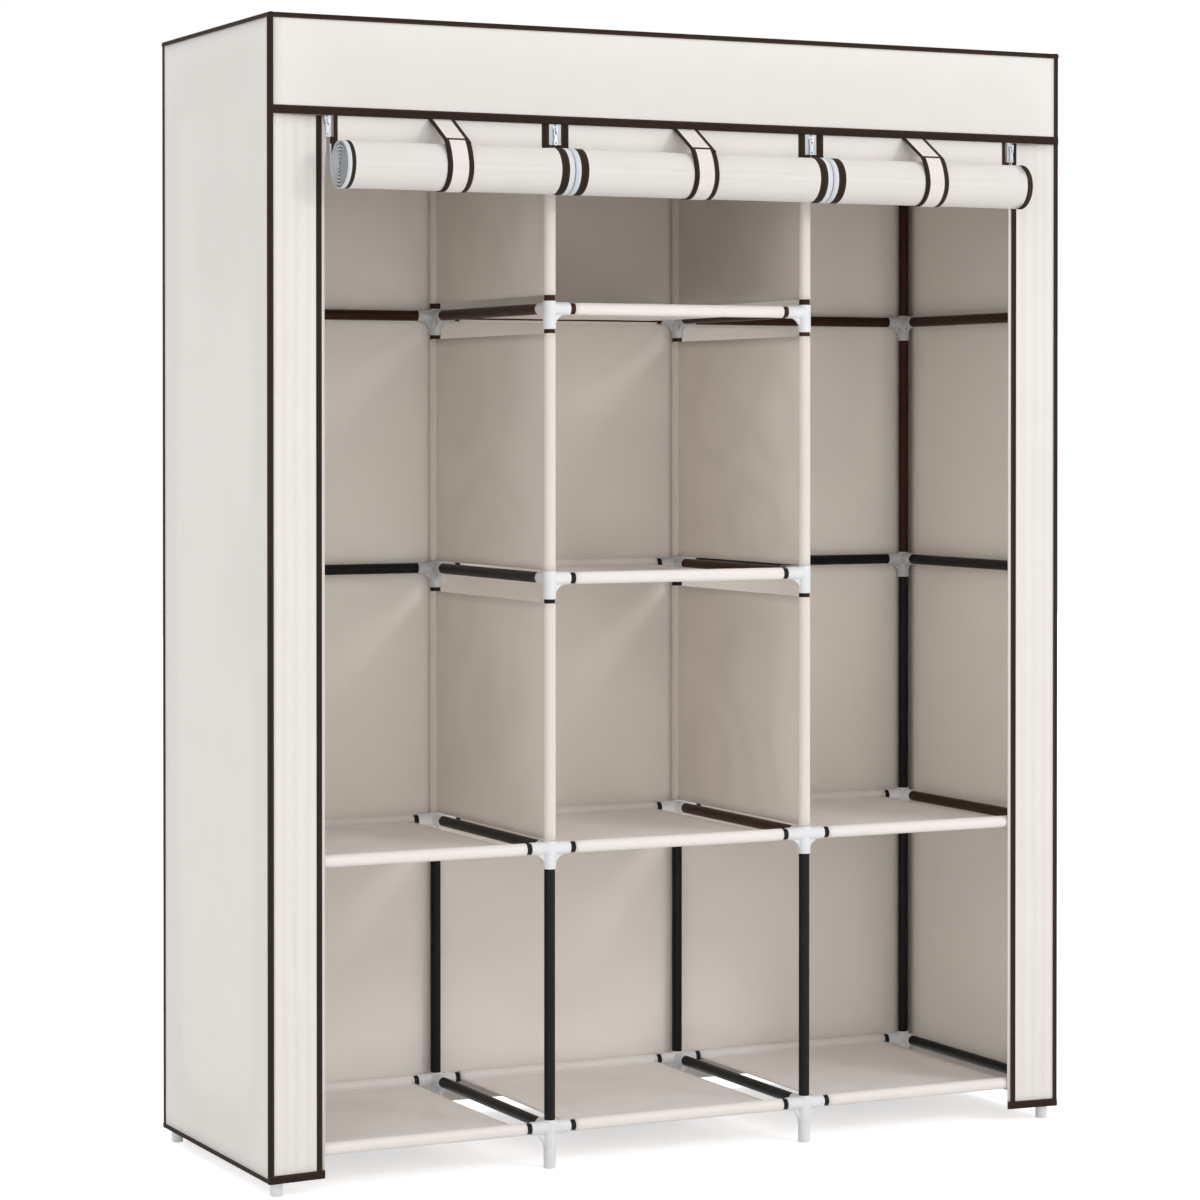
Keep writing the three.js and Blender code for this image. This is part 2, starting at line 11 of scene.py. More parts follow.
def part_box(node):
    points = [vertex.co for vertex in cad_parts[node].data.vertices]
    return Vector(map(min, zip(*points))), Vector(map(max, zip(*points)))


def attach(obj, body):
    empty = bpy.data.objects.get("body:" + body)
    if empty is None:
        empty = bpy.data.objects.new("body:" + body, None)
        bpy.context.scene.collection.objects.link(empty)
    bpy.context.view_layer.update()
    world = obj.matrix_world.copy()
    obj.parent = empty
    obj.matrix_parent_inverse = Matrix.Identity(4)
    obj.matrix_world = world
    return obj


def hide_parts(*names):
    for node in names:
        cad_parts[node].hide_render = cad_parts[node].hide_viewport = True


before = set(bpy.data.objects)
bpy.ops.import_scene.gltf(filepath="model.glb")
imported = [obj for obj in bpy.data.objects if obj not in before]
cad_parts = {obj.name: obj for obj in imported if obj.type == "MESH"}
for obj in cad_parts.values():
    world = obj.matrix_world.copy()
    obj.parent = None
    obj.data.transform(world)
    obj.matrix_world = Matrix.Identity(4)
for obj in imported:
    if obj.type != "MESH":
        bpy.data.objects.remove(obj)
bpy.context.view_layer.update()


def middle_of(node):
    low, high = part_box(node)
    return (Vector(low) + Vector(high)) / 2


COLUMN_NAMES = ("left", "middle", "right")
POSTS = range(4)
LEVELS = range(4)

# Tube, connector and cloth sizes
TUBE_RADIUS = 0.008
TUBE_WALL = 0.0008
CONNECTOR_RADIUS = 0.0095
CONNECTOR_TOP = 0.011
CONNECTOR_DROP = 0.030
ARM_REACH = 0.031
RAIL_END = 0.0123
WEB_THICKNESS = 0.005
WEB_REACH = 0.028
WEB_DROP = 0.027
WEB_ROOT = 0.003
WEB_SINK = 0.004
FOOT_RADIUS = 0.0089
FOOT_WEB_END = 0.022
CLOTH = 0.0012
THIN_CLOTH = 0.0008
BARE_TUBE_END = 0.008
COLLAR_HALF = 0.016

# The cover's planes, and the lines of the frame inside it
LEFT, FRONT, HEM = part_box("cover_left")[0]
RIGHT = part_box("cover_right")[1][0]
BACK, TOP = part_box("cover_left")[1][1:3]
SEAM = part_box("door_roll_middle")[1][2]
POST_X = [middle_of(f"depth_rail_{p + 1}_level_0").x for p in POSTS]
LEVEL_Z = [middle_of(f"depth_rail_1_level_{k}").z for k in LEVELS]
FRONT_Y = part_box("depth_rail_1_level_0")[0][1] - RAIL_END
BACK_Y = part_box("depth_rail_1_level_0")[1][1] + RAIL_END
TOP_CLEARANCE = 0.0015
TOP_Z = TOP - TOP_CLEARANCE - CONNECTOR_TOP

# Cover trims
STRIP_WIDTH = 0.0807
STRIP_LEAN = 0.007
ZIP_FROM_SIDE = 0.086
ZIP_X = [LEFT + ZIP_FROM_SIDE, POST_X[1], POST_X[2], RIGHT - ZIP_FROM_SIDE]
TAPE_END = SEAM - 0.0307
TAPE_PARTING = 0.0024
OUTER_TAPE = 0.0062
INNER_TAPE = 0.0092

# Rolled doors
ROLL_RADIUS = 0.0345
ROLL_CORE = 0.004
ROLL_PITCH = 0.00245
ROLL_Y = FRONT - 0.0358
ROLL_DROP = 0.0701
ROLL_Z = SEAM - ROLL_DROP
STRAP_WIDTH = 0.040
STRAP_X = (-0.390, 0.0, 0.390)

# Camera and light
CAMERA_PLACE = (-2.39393, -4.79765, 1.08388)
CAMERA_TURN = (math.radians(90 - 0.577), 0, math.radians(-26.078))
CAMERA_LENS = 105.98
CAMERA_SHIFT = -0.12
AMBIENT = 0.90
FLOOR_GLOW = 0.55
LAMPS = (
    ("key_lamp", (3.0, -5.2, 3.5), (0.0, 0.0, 0.9), 1.5, 62),
    ("low_lamp", (-0.4, -5.0, 0.7), (0.0, 0.0, 0.9), 2.6, 10),
)


# Materials
def srgb(r, g, b):
    """A colour picker's 0 to 255 as the linear values a shader takes."""

    def linear(c):
        c /= 255
        return c / 12.92 if c <= 0.04045 else ((c + 0.055) / 1.055) ** 2.4

    return (linear(r), linear(g), linear(b), 1.0)


def group(name, inputs, outputs):
    tree = bpy.data.node_groups.new(name, "ShaderNodeTree")
    for label, kind, value in inputs:
        socket = tree.interface.new_socket(label, in_out="INPUT", socket_type=kind)
        if value is not None:
            socket.default_value = value
    for label, kind in outputs:
        tree.interface.new_socket(label, in_out="OUTPUT", socket_type=kind)
    return tree, tree.nodes.new("NodeGroupInput"), tree.nodes.new("NodeGroupOutput")


def math_node(tree, operation, a, b=None):
    node = tree.nodes.new("ShaderNodeMath")
    node.operation = operation
    for socket, value in zip(node.inputs, (a, b)):
        if value is None:
            continue
        if isinstance(value, (int, float)):
            socket.default_value = value
        else:
            tree.links.new(value, socket)
    return node.outputs[0]


def weighted_sum(tree, a, share_a, b, share_b):
    first, second = math_node(tree, "MULTIPLY", a, share_a), math_node(tree, "MULTIPLY", b, share_b)
    return math_node(tree, "ADD", first, second)


def noise_node(tree, vector, scale, detail=2.0, roughness=0.5):
    node = tree.nodes.new("ShaderNodeTexNoise")
    node.inputs["Detail"].default_value = detail
    node.inputs["Roughness"].default_value = roughness
    if isinstance(scale, (int, float)):
        node.inputs["Scale"].default_value = scale
    else:
        tree.links.new(scale, node.inputs["Scale"])
    tree.links.new(vector, node.inputs["Vector"])
    return node.outputs["Fac"]


def cloth_grain():
    """Pressed non-woven cloth: fine fibres, rows of bonded dots, and soft creases."""
    tree, given, made = group(
        "cloth_grain",
        [("Vector", "NodeSocketVector", None), ("Dot Pitch", "NodeSocketFloat", 0.0016)],
        [("Tone", "NodeSocketFloat"), ("Height", "NodeSocketFloat")],
    )
    vector, pitch = given.outputs["Vector"], given.outputs["Dot Pitch"]
    fibres = noise_node(tree, vector, 2600.0, 3.0, 0.6)
    clouds = noise_node(tree, vector, 14.0, 2.0, 0.45)
    creases = noise_node(tree, vector, 22.0, 3.0, 0.5)
    cells = tree.nodes.new("ShaderNodeTexVoronoi")
    cells.inputs["Randomness"].default_value = 0.15
    tree.links.new(vector, cells.inputs["Vector"])
    tree.links.new(math_node(tree, "DIVIDE", 1.0, pitch), cells.inputs["Scale"])
    bonded = math_node(tree, "LESS_THAN", cells.outputs["Distance"], 0.27)
    dots = math_node(tree, "MULTIPLY", bonded, 0.35)
    tone = weighted_sum(tree, fibres, 0.75, clouds, 0.25)
    darker = math_node(tree, "MULTIPLY", dots, 0.3)
    tree.links.new(math_node(tree, "SUBTRACT", tone, darker), made.inputs["Tone"])
    relief = math_node(tree, "SUBTRACT", math_node(tree, "MULTIPLY", fibres, 0.25), dots)
    folds = math_node(tree, "MULTIPLY", creases, 1.5)
    tree.links.new(math_node(tree, "ADD", relief, folds), made.inputs["Height"])
    return tree


def fine_wear():
    """Faint scuffs and speckle for hard surfaces."""
    tree, given, made = group(
        "fine_wear",
        [("Vector", "NodeSocketVector", None), ("Scale", "NodeSocketFloat", 400.0)],
        [("Scuff", "NodeSocketFloat"), ("Height", "NodeSocketFloat")],
    )
    vector, scale = given.outputs["Vector"], given.outputs["Scale"]
    speckle = noise_node(tree, vector, scale, 4.0, 0.6)
    patches = noise_node(tree, vector, math_node(tree, "MULTIPLY", scale, 0.06), 3.0, 0.55)
    tree.links.new(weighted_sum(tree, speckle, 0.35, patches, 0.65), made.inputs["Scuff"])
    tree.links.new(speckle, made.inputs["Height"])
    return tree


def along_and_away(tree, vector):
    apart = tree.nodes.new("ShaderNodeSeparateXYZ")
    tree.links.new(vector, apart.inputs["Vector"])
    return apart.outputs["X"], apart.outputs["Y"]


def stitch_row():
    """A row of sewn stitches. The vector runs along the seam in x and away from its edge in y."""
    tree, given, made = group(
        "stitch_row",
        [
            ("Vector", "NodeSocketVector", None),
            ("Inset", "NodeSocketFloat", 0.0016),
            ("Pitch", "NodeSocketFloat", 0.0032),
        ],
        [("Thread", "NodeSocketFloat"), ("Height", "NodeSocketFloat")],
    )
    along, away = along_and_away(tree, given.outputs["Vector"])
    off_row = math_node(tree, "ABSOLUTE", math_node(tree, "SUBTRACT", away, given.outputs["Inset"]))
    in_row = math_node(tree, "LESS_THAN", off_row, 0.0003)
    step = math_node(tree, "FRACT", math_node(tree, "DIVIDE", along, given.outputs["Pitch"]))
    thread = math_node(tree, "MULTIPLY", in_row, math_node(tree, "LESS_THAN", step, 0.72))
    tree.links.new(thread, made.inputs["Thread"])
    pulled_in = math_node(tree, "MULTIPLY", math_node(tree, "LESS_THAN", off_row, 0.0008), -0.6)
    tree.links.new(math_node(tree, "ADD", pulled_in, thread), made.inputs["Height"])
    return tree


GRAIN = cloth_grain()
WEAR = fine_wear()
STITCHES = stitch_row()


def new_material(name, color, roughness, metallic=0.0):
    material = bpy.data.materials.new(name)
    material.use_nodes = True
    material.diffuse_color = color
    shader = material.node_tree.nodes["Principled BSDF"]
    shader.inputs["Base Color"].default_value = color
    shader.inputs["Roughness"].default_value = roughness
    shader.inputs["Metallic"].default_value = metallic
    return material, material.node_tree, shader


def tinted(tree, mask, dark, light, low=0.3, high=0.7):
    """A colour between two, following a mask."""
    ramp = tree.nodes.new("ShaderNodeValToRGB")
    ramp.color_ramp.elements[0].position, ramp.color_ramp.elements[0].color = low, dark
    ramp.color_ramp.elements[1].position, ramp.color_ramp.elements[1].color = high, light
    tree.links.new(mask, ramp.inputs["Fac"])
    return ramp.outputs["Color"]


def bumped(tree, shader, height, distance):
    bump = tree.nodes.new("ShaderNodeBump")
    bump.inputs["Distance"].default_value = distance
    bump.inputs["Strength"].default_value = 1.0
    tree.links.new(height, bump.inputs["Height"])
    tree.links.new(bump.outputs["Normal"], shader.inputs["Normal"])


def placed_group(tree, shared, **values):
    node = tree.nodes.new("ShaderNodeGroup")
    node.node_tree = shared
    coordinates = tree.nodes.new("ShaderNodeTexCoord")
    tree.links.new(coordinates.outputs["Object"], node.inputs["Vector"])
    for label, value in values.items():
        node.inputs[label.replace("_", " ")].default_value = value
    return node


def seen_directly(tree):
    """1 where a ray comes from the camera, straight or by way of a reflection or clear piece."""
    path = tree.nodes.new("ShaderNodeLightPath")
    seen = math_node(tree, "MAXIMUM", path.outputs["Is Camera Ray"], path.outputs["Is Glossy Ray"])
    return math_node(tree, "MAXIMUM", seen, path.outputs["Is Transmission Ray"])


def cloth_material(
    name, dark, light, pitch=0.0016, relief=0.0004, sheen=0.15, thread=None, inset=0.0016
):
    """Cloth, with a row of stitches along its seams where a thread colour is given."""
    material, tree, shader = new_material(name, light, 0.92)
    shader.inputs["Sheen Weight"].default_value = sheen
    shader.inputs["Specular IOR Level"].default_value = 0.2
    grain = placed_group(tree, GRAIN, Dot_Pitch=pitch)
    color, height = tinted(tree, grain.outputs["Tone"], dark, light), grain.outputs["Height"]
    if thread:
        seams = tree.nodes.new("ShaderNodeUVMap")
        seams.uv_map = "seams"
        row = tree.nodes.new("ShaderNodeGroup")
        row.node_tree = STITCHES
        row.inputs["Inset"].default_value = inset
        tree.links.new(seams.outputs["UV"], row.inputs["Vector"])
        sewn = tree.nodes.new("ShaderNodeMix")
        sewn.data_type = "RGBA"
        sewn.inputs["B"].default_value = thread
        tree.links.new(row.outputs["Thread"], sewn.inputs["Factor"])
        tree.links.new(color, sewn.inputs["A"])
        color = sewn.outputs["Result"]
        height = math_node(tree, "ADD", height, row.outputs["Height"])
    tree.links.new(color, shader.inputs["Base Color"])
    bumped(tree, shader, height, relief)
    return material


def hard_material(
    name, dark, light, roughness, scale=400.0, metallic=0.0, relief=0.00003, coat=0.0
):
    material, tree, shader = new_material(name, light, roughness, metallic)
    shader.inputs["Coat Weight"].default_value = coat
    shader.inputs["Specular IOR Level"].default_value = 0.5 if coat == 0.0 else 0.12
    wear = placed_group(tree, WEAR, Scale=scale)
    tree.links.new(tinted(tree, wear.outputs["Scuff"], dark, light), shader.inputs["Base Color"])
    varied = math_node(tree, "MULTIPLY", wear.outputs["Scuff"], 0.2)
    tree.links.new(math_node(tree, "ADD", varied, roughness - 0.1), shader.inputs["Roughness"])
    bumped(tree, shader, wear.outputs["Height"], relief)
    return material


def teeth_material(name, gap_shade, tooth, pitch):
    """Ribs of a coil zip, along the piece's own seam, with a darker colour in the gaps between ribs:
    painted shade.
    """
    material, tree, shader = new_material(name, tooth, 0.45)
    seams = tree.nodes.new("ShaderNodeUVMap")
    seams.uv_map = "seams"
    along, _ = along_and_away(tree, seams.outputs["UV"])
    step = math_node(tree, "FRACT", math_node(tree, "DIVIDE", along, pitch))
    rib = math_node(tree, "SINE", math_node(tree, "MULTIPLY", step, math.pi))
    # Darker between the ribs: painted shade.
    tree.links.new(tinted(tree, rib, gap_shade, tooth, 0.35, 0.6), shader.inputs["Base Color"])
    bumped(tree, shader, rib, 0.0004)
    return material


COVER_CLOTH = cloth_material("cover_cloth", srgb(231, 226, 221), srgb(238, 234, 230))
# The cover's inner face is a lighter copy of the cover cloth: painted light for the shaded inside.
LIT_INNER_CLOTH = cloth_material("cover_cloth_inside_painted_light", srgb(244, 236, 227), srgb(250, 243, 235))
# The shelf cloth is a lighter copy of the same cream cloth: painted light for the shaded inside.
LIT_SHELF_CLOTH = cloth_material(
    "shelf_cloth", srgb(241, 234, 229), srgb(247, 241, 237), thread=srgb(214, 204, 193), inset=0.0035
)
DIVIDER_CLOTH = cloth_material(
    "divider_cloth", srgb(230, 221, 211), srgb(238, 230, 221), thread=srgb(208, 198, 187), inset=0.004
)
COVER_FACES = [COVER_CLOTH, LIT_INNER_CLOTH]
DOOR_LINING = cloth_material("door_lining", srgb(224, 219, 214), srgb(231, 227, 223))
STRAP_CLOTH = cloth_material("strap_cloth", srgb(230, 224, 218), srgb(238, 233, 228))
BINDING = cloth_material(
    "brown_binding", srgb(38, 26, 19), srgb(54, 40, 31), 0.0011, 0.0002, 0.03, srgb(84, 64, 50)
)
ZIP_TAPE = cloth_material("zip_tape", srgb(212, 218, 223), srgb(226, 230, 234), 0.0009, 0.0002)
STRIP_TAPE = cloth_material("strip_tape", srgb(222, 215, 206), srgb(232, 226, 218), 0.0009, 0.0002)
# The teeth are darker in the gaps between their ribs: painted shade.
ZIP_TEETH = teeth_material("zip_teeth", srgb(186, 191, 196), srgb(238, 241, 244), 0.0014)
CONNECTOR_PLASTIC = hard_material(
    "connector_plastic", srgb(223, 225, 227), srgb(235, 236, 238), 0.42, 900.0
)
# A darker grey copy of the white connector plastic: painted shade for the back connectors from level 2
# up.
SHADED_BACK_CONNECTOR = hard_material(
    "connector_plastic_back_painted_shade", srgb(184, 186, 187), srgb(198, 199, 200), 0.42, 900.0
)
BLACK_TUBE = hard_material(
    "black_tube", srgb(18, 18, 19), srgb(28, 28, 30), 0.42, 700.0, relief=0.00002, coat=0.03
)
BROWN_TUBE = hard_material(
    "brown_tube", srgb(44, 25, 12), srgb(60, 36, 19), 0.4, 700.0, relief=0.00002, coat=0.03
)
ZIP_METAL = hard_material("zip_metal", srgb(176, 182, 190), srgb(214, 218, 224), 0.3, 900.0, 1.0)


# Making and placing
def deselect():
    if bpy.context.object and bpy.context.object.mode != "OBJECT":
        bpy.ops.object.mode_set(mode="OBJECT")
    bpy.ops.object.select_all(action="DESELECT")


def only(obj):
    deselect()
    obj.select_set(True)
    bpy.context.view_layer.objects.active = obj
    return obj


def settled(obj):
    """Puts an object's place into its mesh, so that the object itself sits at the origin."""
    only(obj)
    bpy.ops.object.transform_apply(location=True, rotation=True, scale=True)
    return obj


def finished(obj, name, material, slot, body="root", stands_for=()):
    obj.name = name
    obj.data.name = name
    if material is not None:
        obj.data.materials.clear()
        obj.data.materials.append(material)
    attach(obj, body)
    if stands_for:
        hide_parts(*stands_for)
    return obj


def cover_part(obj, body="root", node=None):
    """A sewn piece or trim of the cover, with its own materials."""
    stood_for = (node,) if node else ()
    return finished(obj, obj.name, None, slot="cover_cloth", body=body, stands_for=stood_for)


def smooth(obj, degrees=35):
    only(obj)
    bpy.ops.object.shade_smooth_by_angle(angle=math.radians(degrees))


def spread(start, end, parts):
    return [start + (end - start) * i / parts for i in range(parts + 1)]


def nearest(values, wanted):
    return min(range(len(values)), key=lambda n: abs(values[n] - wanted))


def mesh_object(name, points, faces):
    """A new object, its mesh and its map of the seams."""
    mesh = bpy.data.meshes.new(name)
    mesh.from_pydata(points, [], faces)
    obj = bpy.data.objects.new(name, mesh)
    bpy.context.collection.objects.link(obj)
    return obj, mesh, mesh.uv_layers.new(name="seams")


def whole_mesh(obj, step, **settings):
    """One mesh step on the whole of an object."""
    only(obj)
    bpy.ops.object.mode_set(mode="EDIT")
    bpy.ops.mesh.select_all(action="SELECT")
    step(**settings)
    bpy.ops.object.mode_set(mode="OBJECT")


def cloth_piece(
    name, across, down, place, materials,
    kind=None, thickness=THIN_CLOTH, inset=0.0, seams=None, lining=False,
):
    """A sheet of cloth. place(a, b) is its point at each pair of across and down values; kind(a, b)
    picks a material for each patch, or None where the sheet is cut away; seams(a, b) is how far a
    point is along a seam, and away from it; lining gives its inner face the next material."""
    width = len(across)
    points = [place(a, b) for b in down for a in across]
    faces, kinds, patches = [], [], []
    for j in range(len(down) - 1):
        for i in range(width - 1):
            choice = kind((across[i] + across[i + 1]) / 2, (down[j] + down[j + 1]) / 2) if kind else 0
            if choice is None:
                continue
            corner = j * width + i
            faces.append((corner, corner + 1, corner + width + 1, corner + width))
            kinds.append(choice)
            patches.append((across[i], across[i + 1], down[j], down[j + 1]))
    obj, mesh, mapped = mesh_object(name, points, faces)
    mesh.polygons.foreach_set("material_index", kinds)
    mesh.polygons.foreach_set("use_smooth", [True] * len(faces))
    for face, (a0, a1, b0, b1) in zip(mesh.polygons, patches):
        for loop, (a, b) in zip(face.loop_indices, ((a0, b0), (a1, b0), (a1, b1), (a0, b1))):
            mapped.data[loop].uv = seams(a, b) if seams else (a, b)
    whole_mesh(obj, bpy.ops.mesh.delete_loose)
    body = obj.modifiers.new("thickness", "SOLIDIFY")
    body.thickness = thickness
    body.offset = inset
    body.material_offset = 1 if lining else 0
    for material in materials:
        mesh.materials.append(material)
    return obj


def ringed_strip(name, points, count, seam_place, material, sharpest):
    """A solid strip of rings of count points. seam_place(ring, i) is a point's place on the seams."""
    last = len(points) - count
    faces = [
        (ring + i, ring + (i + 1) % count, ring + count + (i + 1) % count, ring + count + i)
        for ring in range(0, last, count)
        for i in range(count)
    ]
    faces += [tuple(range(count)), tuple(range(last, last + count))]
    obj, mesh, mapped = mesh_object(name, points, faces)
    for loop, corner in zip(mapped.data, mesh.loops):
        loop.uv = seam_place(*divmod(corner.vertex_index, count))
    whole_mesh(obj, bpy.ops.mesh.normals_make_consistent, inside=False)
    mesh.materials.append(material)
    smooth(obj, sharpest)
    return obj


def swept(name, outline, start, end, u, v, material, steps=1, bend=None, sewn=None):
    """A strip with the same outline all along; each outline point is (a, b) along u and v.
    sewn lists how far each outline point is from the sewn edge."""
    u, v, start, end = Vector(u), Vector(v), Vector(start), Vector(end)
    points = []
    for s in range(steps + 1):
        share = s / steps
        base = start.lerp(end, share) + (bend(share) if bend else Vector())
        points += [base + u * a + v * b for a, b in outline]
    length = (end - start).length

    def seam_place(step, i):
        return (length * step / steps, sewn[i] if sewn else 1.0)

    return ringed_strip(name, points, len(outline), seam_place, material, 40)


# Camera, floor and light
def studio():
    camera = bpy.data.cameras.new("camera")
    camera.sensor_width = 36
    camera.lens = CAMERA_LENS
    camera.shift_y = CAMERA_SHIFT
    camera.clip_end = 100
    holder = bpy.data.objects.new("camera", camera)
    holder.location = CAMERA_PLACE
    holder.rotation_euler = CAMERA_TURN
    bpy.context.collection.objects.link(holder)
    bpy.context.scene.camera = holder

    world = bpy.data.worlds.new("studio")
    bpy.context.scene.world = world
    world.use_nodes = True
    tree = world.node_tree
    background = tree.nodes["Background"]
    background.inputs["Color"].default_value = (1, 1, 1, 1)
    brighter = math_node(tree, "MULTIPLY", seen_directly(tree), 1 - AMBIENT)
    tree.links.new(math_node(tree, "ADD", brighter, AMBIENT), background.inputs["Strength"])

    for name, place, aim, size, power in LAMPS:
        lamp = bpy.data.lights.new(name, "AREA")
        lamp.shape = "DISK"
        lamp.size = size
        lamp.energy = power
        stand = bpy.data.objects.new(name, lamp)
        stand.location = place
        stand.rotation_euler = (Vector(place) - Vector(aim)).to_track_quat("Z", "Y").to_euler()
        bpy.context.collection.objects.link(stand)

    deselect()
    bpy.ops.mesh.primitive_plane_add(size=24, location=(0, 0, -0.0005))
    floor = bpy.context.object
    material, tree, shader = new_material("studio_floor", srgb(250, 250, 250), 0.9)
    shader.inputs["Specular IOR Level"].default_value = 0.0
    shader.inputs["Emission Color"].default_value = (1, 1, 1, 1)
    glow = math_node(tree, "MULTIPLY", seen_directly(tree), FLOOR_GLOW)
    tree.links.new(glow, shader.inputs["Emission Strength"])
    floor.name = "studio_floor"
    floor.data.materials.append(material)
    settled(floor)


bpy.context.scene.view_settings.view_transform = "Standard"
studio()


# Hard pieces
RIGHTWARDS, LEFTWARDS, INWARDS, OUTWARDS = (1, 0), (-1, 0), (0, 1), (0, -1)


def cylinder(start, end, radius):
    deselect()
    bpy.ops.mesh.primitive_cylinder_add(
        vertices=32, radius=radius, depth=math.dist(start, end), end_fill_type="NGON"
    )
    return bpy.context.object


def select_ends(obj, sides):
    """Selects the flat ends of a cylinder, and leaves it in edit mode."""
    bpy.ops.object.mode_set(mode="EDIT")
    bpy.ops.mesh.select_mode(type="FACE")
    bpy.ops.mesh.select_all(action="DESELECT")
    bpy.ops.object.mode_set(mode="OBJECT")
    for face in obj.data.polygons:
        face.select = any(face.normal.z * side > 0.9 for side in sides)
    bpy.ops.object.mode_set(mode="EDIT")


def laid_between(obj, start, end):
    bpy.ops.object.mode_set(mode="OBJECT")
    start, end = Vector(start), Vector(end)
    obj.rotation_euler = (end - start).to_track_quat("Z", "Y").to_euler()
    obj.location = start.lerp(end, 0.5)
    return settled(obj)


def tube(name, start, end, is_brown, stands_for=()):
    """A steel tube with open, turned ends."""
    obj = cylinder(start, end, TUBE_RADIUS)
    for side in (-1, 1):
        select_ends(obj, (side,))
        bpy.ops.mesh.inset(thickness=TUBE_WALL, depth=0)
        bpy.ops.mesh.extrude_region_move(TRANSFORM_OT_translate={"value": (0, 0, -side * 0.02)})
    laid_between(obj, start, end)
    smooth(obj)
    material, slot = (BROWN_TUBE, "brown_tube") if is_brown else (BLACK_TUBE, "black_tube")
    return finished(obj, name, material, slot=slot, stands_for=stands_for)


def rod_part(start, end, radius, bevel=0.0008):
    """A round moulded arm with softened rims."""
    obj = cylinder(start, end, radius)
    select_ends(obj, (-1, 1))
    bpy.ops.mesh.bevel(offset=bevel, segments=2, affect="EDGES")
    return laid_between(obj, start, end)


def web_part(way, reach, drop, thickness):
    """The web under an arm: a plate with a round bite out of its lower outer corner."""
    across = Vector((way[0], way[1], 0))
    deselect()
    bpy.ops.mesh.primitive_cube_add(size=1)
    plate = bpy.context.object
    plate.scale = (reach + WEB_ROOT, thickness, drop - WEB_SINK)
    plate.location = ((reach - WEB_ROOT) / 2, 0, -(drop + WEB_SINK) / 2)
    settled(plate)
    bpy.ops.object.mode_set(mode="EDIT")
    bpy.ops.mesh.select_all(action="SELECT")
    bpy.ops.mesh.bevel(offset=0.0005, segments=1, affect="EDGES")
    bpy.ops.object.mode_set(mode="OBJECT")
    deselect()
    bpy.ops.mesh.primitive_cylinder_add(
        vertices=48, radius=1, depth=WEB_THICKNESS * 3, rotation=(math.pi / 2, 0, 0)
    )
    bite = bpy.context.object
    settled(bite)
    bite.scale = (reach - TUBE_RADIUS, 1, drop - TUBE_RADIUS)
    bite.location = (reach, 0, -drop)
    settled(bite)
    carve(plate, bite, "DIFFERENCE")
    plate.matrix_world = Matrix.Rotation(math.atan2(across.y, across.x), 4, "Z")
    return settled(plate)


def carve(obj, other, operation):
    only(obj)
    step = obj.modifiers.new("join", "BOOLEAN")
    step.operation = operation
    step.object = other
    step.solver = "EXACT"
    bpy.ops.object.modifier_apply(modifier=step.name)
    bpy.data.objects.remove(other, do_unlink=True)


def connector_model(ways, has_foot, foot_drop):
    """A moulded connector about its own centre, with one arm and one web for each level way.
    Opposite arms are one rod, and no two webs are quite as thick, so that the joins stay clean."""
    body = rod_part((0, 0, -CONNECTOR_DROP), (0, 0, CONNECTOR_TOP), CONNECTOR_RADIUS + 0.0001)
    has_both = LEFTWARDS in ways and RIGHTWARDS in ways
    for i, way in enumerate(sorted(ways)):
        out = Vector((way[0], way[1], 0))
        if not (has_both and way == RIGHTWARDS):
            inner = -ARM_REACH if has_both and way == LEFTWARDS else 0.0005
            carve(body, rod_part(out * inner, out * ARM_REACH, CONNECTOR_RADIUS), "UNION")
        drop = foot_drop - FOOT_WEB_END if has_foot else WEB_DROP
        carve(body, web_part(way, WEB_REACH, drop, WEB_THICKNESS + i * 0.0002), "UNION")
    if has_foot:
        foot = rod_part((0, 0, -foot_drop), (0, 0, -CONNECTOR_DROP / 2), FOOT_RADIUS, 0.0012)
        carve(body, foot, "UNION")
    smooth(body, 38)
    return body


CONNECTORS = {}


def connector(name, place, ways, has_foot, stands_for, plastic):
    key = (tuple(sorted(ways)), has_foot)
    if key not in CONNECTORS:
        CONNECTORS[key] = connector_model(ways, has_foot, LEVEL_Z[0])
        CONNECTORS[key].hide_render = True
    model = CONNECTORS[key]
    obj = bpy.data.objects.new(name, model.data.copy())
    bpy.context.collection.objects.link(obj)
    obj.data.transform(Matrix.Translation(Vector(place)))
    return finished(obj, name, plastic, slot="connector", stands_for=stands_for)


def ways_at(post, is_front, level):
    depth_way = INWARDS if is_front else OUTWARDS
    towards_middle = RIGHTWARDS if post <= 1 else LEFTWARDS
    is_outer = post in (0, 3)
    if level == 4:
        sides = ([LEFTWARDS] if post > 0 else []) + ([RIGHTWARDS] if post < 3 else [])
        return sides + [depth_way]
    if is_outer:
        return [depth_way] if is_front and level >= 2 else [towards_middle, depth_way]
    if is_front and level >= 2:
        return [towards_middle, depth_way]
    return [LEFTWARDS, RIGHTWARDS, depth_way]


BROWN_DEPTH_TUBES = {(1, 2), (1, 3), (2, 2)}


